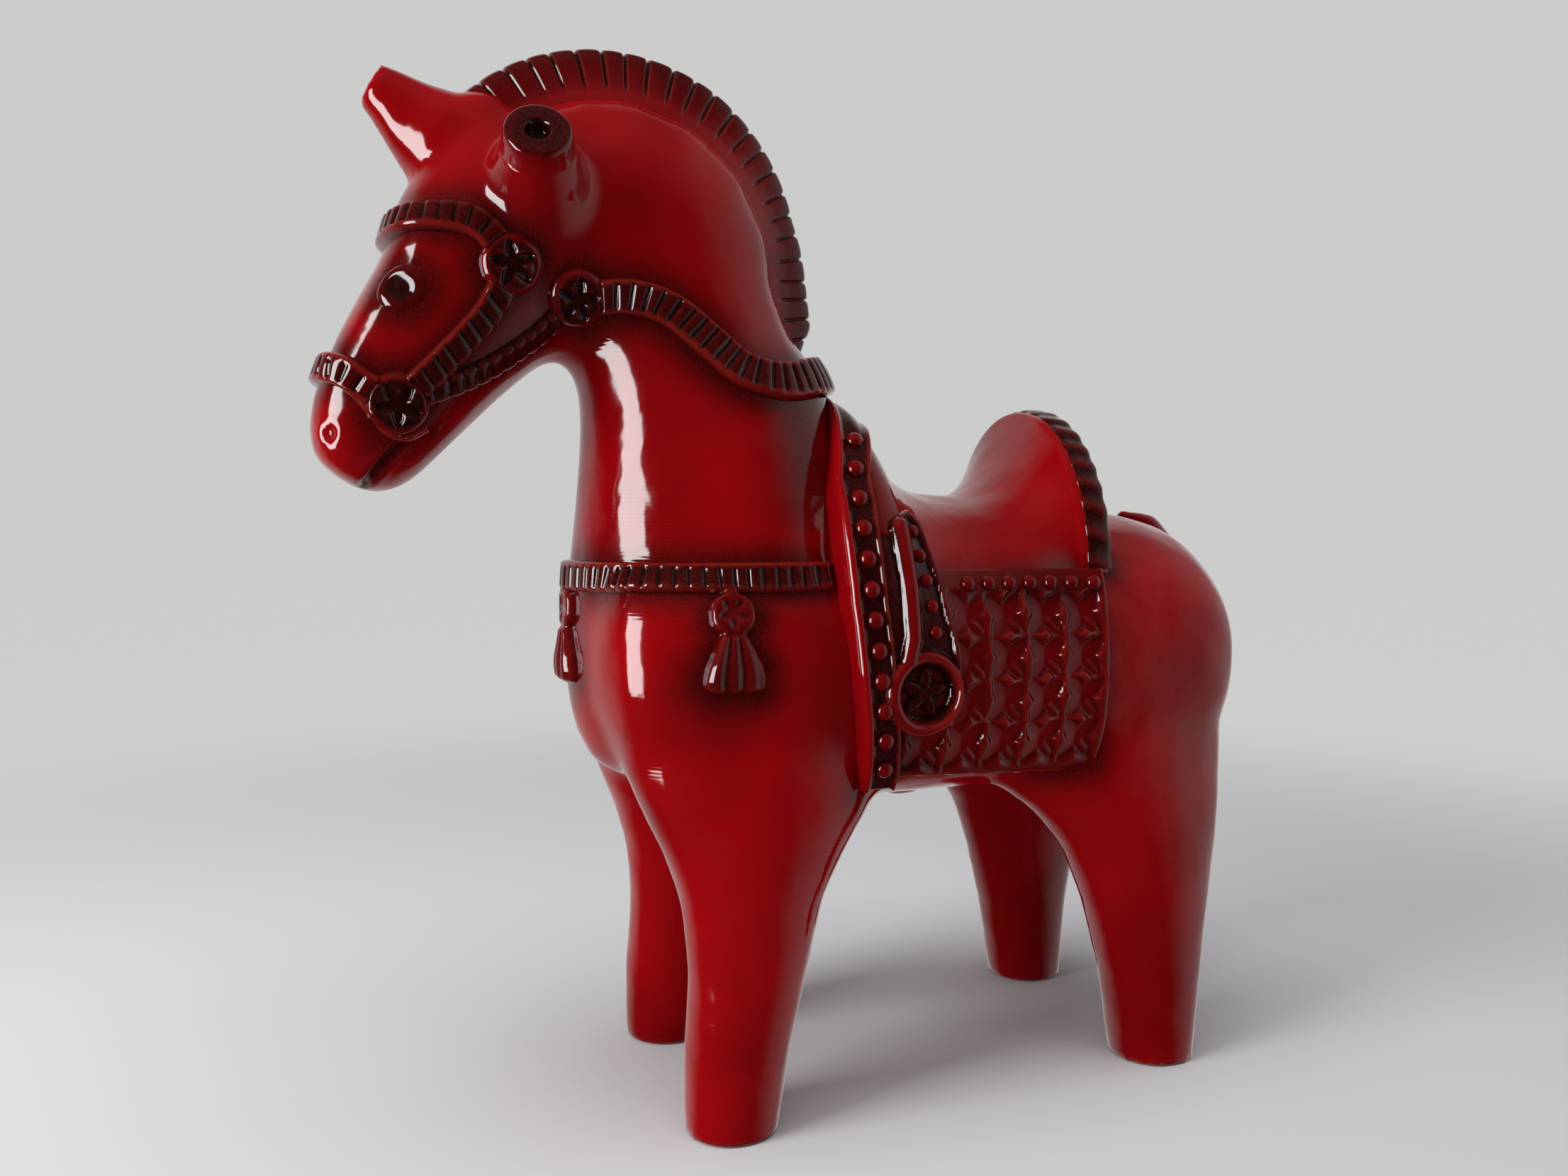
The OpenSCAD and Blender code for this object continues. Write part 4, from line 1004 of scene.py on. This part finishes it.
def beads(name, spots, radius, node):
    """Copies of one bead at side-view spots on both sides, lifted off the saddle's form."""
    tilt = np.radians(np.linspace(0.0, 120.0, 9))[:, None]
    spin = np.linspace(0.0, 2 * np.pi, 21)[None, :]
    dome = [np.sin(tilt) * np.cos(spin), np.sin(tilt) * np.sin(spin), np.cos(tilt) + 0.0 * spin]
    first = tile(name, radius * np.stack(dome, -1))
    bpy.ops.object.mode_set(mode="EDIT")
    bpy.ops.mesh.select_all(action="SELECT")
    bpy.ops.mesh.remove_doubles(threshold=0.00003)
    bpy.ops.mesh.select_all(action="SELECT")
    bpy.ops.mesh.region_to_loop()
    bpy.ops.mesh.edge_face_add()
    bpy.ops.object.mode_set(mode="OBJECT")
    shape = points_of(first)
    shape[:, 2] *= 0.8
    shade = np.interp(shape[:, 2], [-0.4 * radius, 0.7 * radius], [0.9, 0.4])
    places = []
    for x, z, lift in spots:
        here = side_form(np.array(x), np.array(z))
        ahead = side_form(np.array(x + 0.5), np.array(z)) - here
        above = side_form(np.array(x), np.array(z + 0.5)) - here
        out = unit(np.cross(ahead, above))
        out = out if out[1] < 0 else -out
        level = unit(ahead - out * np.dot(ahead, out))
        turned = shape[:, :1] * level + shape[:, 1:2] * np.cross(out, level) + shape[:, 2:] * out
        places.append(turned + here + out * lift)
    pieces = []
    for place in places:
        for side in (1.0, -1.0):
            twin = bpy.data.objects.new(name, first.data.copy())
            scene.collection.objects.link(twin)
            set_points(twin, place * (1.0, side, 1.0))
            mark(twin, stain=shade)
            pick(twin)
            bpy.ops.object.mode_set(mode="EDIT")
            bpy.ops.mesh.select_all(action="SELECT")
            bpy.ops.mesh.normals_make_consistent(inside=False)
            bpy.ops.object.mode_set(mode="OBJECT")
            pieces.append(twin)
    bpy.data.objects.remove(first)
    pick(pieces[0])
    for twin in pieces:
        twin.select_set(True)
    bpy.ops.object.join()
    bpy.ops.object.shade_smooth()
    pieces[0].name = name
    dress(pieces[0], dark_glaze, "dark_glaze", node)


heights = np.linspace(112.0, 213.0, 12)
beads("border_studs", [(float(front_at(h)) + 0.2, h, 1.5) for h in heights], 2.9, "border_beads")
row = ((15.0, 184.5), (16.0, 177.0), (17.0, 169.3), (17.9, 161.5), (18.5, 153.6))
beads("stirrup_studs", [(x, z, 1.1) for x, z in row], 2.3, "stirrup_beads")
beads("cloth_studs", [(79.0 - 7.71 * i, 168.0, 0.7) for i in range(7)], 2.6, "cloth_beads")

# Mane: a crest of clay set on the neck, cut across into locks with a knife.
# The cuts hold the stain, and a thin tan line on one side of each cut is a painted highlight.
crest_radius = 53.0
crest_turn = np.radians(136.0)
arc = crest_turn * crest_radius
pitch = 6.4
run = np.linspace(0.0, arc + 27.0, 520)[:, None]
turn = crest_turn - np.clip(run, 0.0, arc) / crest_radius
drop = np.clip(run - arc, 0.0, 40.0)
share = np.interp(np.degrees(turn), [0.0, 17.0, 40.0, 60.0, 136.0], [0.86, 0.73, 0.88, 1.0, 1.0])
share = share * (1.0 - 0.45 * step(arc + 14.0, arc + 27.0, run))
flank = [(13.5, -8.0), (11.2, -3.2), (9.4, 0.4), (8.3, 3.6), (7.6, 7.0), (6.7, 10.4), (5.2, 12.7),
         (2.8, 13.8)]
section = curve(flank + [(0.0, 14.0)] + [(-y, level) for y, level in reversed(flank)], 72)
side = section[None, :, 0]
level = section[None, :, 1]
phase = np.mod((run + 0.35 * np.sin(run * 0.29) + 0.12 * level * step(60.0, 130.0, run)) / pitch, 1.0)
cut = swell(np.minimum(phase, 1.0 - phase) * pitch, 0.45)
plump = np.sin(np.pi * phase) ** 0.6
high = step(-2.0, 2.5, level) * step(0.0, 40.0, run + 3.0 * level)
far = crest_radius + np.where(level > 0, level * share, level)
far = far + (0.3 * plump - 0.7 * cut) * step(10.5, 13.5, level)
wide = side * (1.0 + 0.03 * plump * high - 0.10 * cut * high)
points = np.stack([-69.0 + far * np.cos(turn) + 0.13 * drop, wide, 270.0 + far * np.sin(turn) - drop], -1)
mane = tile("mane", points)
shade = 0.05 + 0.35 * step(-2.0, 3.0, level) + 0.3 * step(4.0, 13.0, level) + 0.5 * cut * high
# Painted highlight: a thin tan line on one side of each cut of the mane.
mark(mane, stain=np.clip(shade, 0.0, 1.0), rub=0.3 * swell(phase - 0.1, 0.03) * high)
pick(mane)
bpy.ops.object.mode_set(mode="EDIT")
bpy.ops.mesh.select_all(action="SELECT")
bpy.ops.mesh.region_to_loop()
bpy.ops.mesh.edge_face_add()
bpy.ops.mesh.select_all(action="SELECT")
bpy.ops.mesh.normals_make_consistent(inside=False)
bpy.ops.object.mode_set(mode="OBJECT")
bpy.ops.object.shade_smooth()
dress(mane, dark_glaze, "dark_glaze", "mane")

# Tail: a rolled strip of clay laid down the rump and luted on with slip.
# It is smoothed in by hand, with a little stain under the red glaze.
tail = cast("tail_strip", ["tail"])
apply(tail, "REMESH", mode="VOXEL", voxel_size=1.0 * mm)
ease(tail, 60)
apply(tail, "SMOOTH", factor=0.5, iterations=10)
bpy.ops.object.shade_smooth()
mark(tail, stain=np.full(len(tail.data.vertices), 0.25))
dress(tail, red_glaze, "red_glaze", "tail")

# Ear ends: the flat ends of the ears' cones, cut with a wire while the clay was soft.
# Each has a hole poked in it with a finger-tip, and is stained dark.
profile = np.array([(8.5, 38.5), (11.2, 40.0), (10.88, 41.0), (10.6, 42.2), (10.35, 43.4), (10.1, 45.0),
                    (9.85, 46.8), (9.6, 48.2), (9.1, 49.0), (8.3, 49.3), (5.0, 49.2), (4.3, 49.3),
                    (3.7, 49.0), (3.3, 48.2), (3.0, 46.0), (1.8, 45.4), (0.01, 45.3)])
stops = [0, 3, 5, 7, 8, 10, 11, 13]
darkness = np.interp(np.arange(len(profile)), stops, [0.0, 0.02, 0.1, 0.35, 0.7, 0.88, 0.8, 1.0])
spin = np.linspace(0.0, 2 * np.pi, 65)[:, None]
first = unit(np.cross(ear_axis, (1.0, 0.0, 0.0)))
second = np.cross(ear_axis, first)
ring = np.cos(spin)[..., None] * first + np.sin(spin)[..., None] * second
points = ear_root + profile[None, :, :1] * ring + profile[None, :, 1:] * ear_axis
ear_end = tile("left_ear_end", points)
mark(ear_end, stain=darkness + 0.0 * spin)
pick(ear_end)
bpy.ops.object.mode_set(mode="EDIT")
bpy.ops.mesh.select_all(action="SELECT")
bpy.ops.mesh.remove_doubles(threshold=0.00003)
bpy.ops.mesh.normals_make_consistent(inside=False)
bpy.ops.object.mode_set(mode="OBJECT")
apply(ear_end, "SUBSURF", levels=1, render_levels=1)
bpy.ops.object.shade_smooth()
for piece in (ear_end, right_twin(ear_end, "right_ear_end")):
    piece.data.materials.append(red_glaze)
    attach(piece, "root")

# Stain on the body: brown sprayed softly round the reliefs before the clear glaze, and on the lip.
# The nape and behind the shoulder are darkened partly as stain, partly as painted shade; the mouth slit,
# nostrils and belly vent as painted shade. The soles show bare clay, where they were ground.
cloud = np.vstack(stained)
tree = KDTree(len(cloud))
for index, point in enumerate(cloud.tolist()):
    tree.insert(point, index)
tree.balance()
corners = points_of(body)
x, y, z = corners.T
gap = np.array([tree.find(point)[2] for point in corners.tolist()])
spray_and_shade = np.maximum(0.72 * swell(gap, 7.5), mouth_shade)
# Darkened lines: the nape and behind the shoulder partly stain, partly painted shade; the lip is stain.
for knots, strength, reach in (
    ([(-16.0, 220.0), (-15.0, 196.0)], 0.68, 14.0),
    ([(-17.0, 165.0), (-12.0, 120.0)], 0.32, 11.0),
    ([(-146.0, 219.0), (-145.0, 211.0)], 0.5, 4.5),
):
    spray_and_shade = np.maximum(spray_and_shade, strength * swell(from_line(x, z, knots), reach))
mark(body, stain=spray_and_shade, bare=step(0.9, 0.3, z))

size = {"cad": [list(map(float, c)) for c in cad_box], "visual": [list(map(float, c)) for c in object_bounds()]}
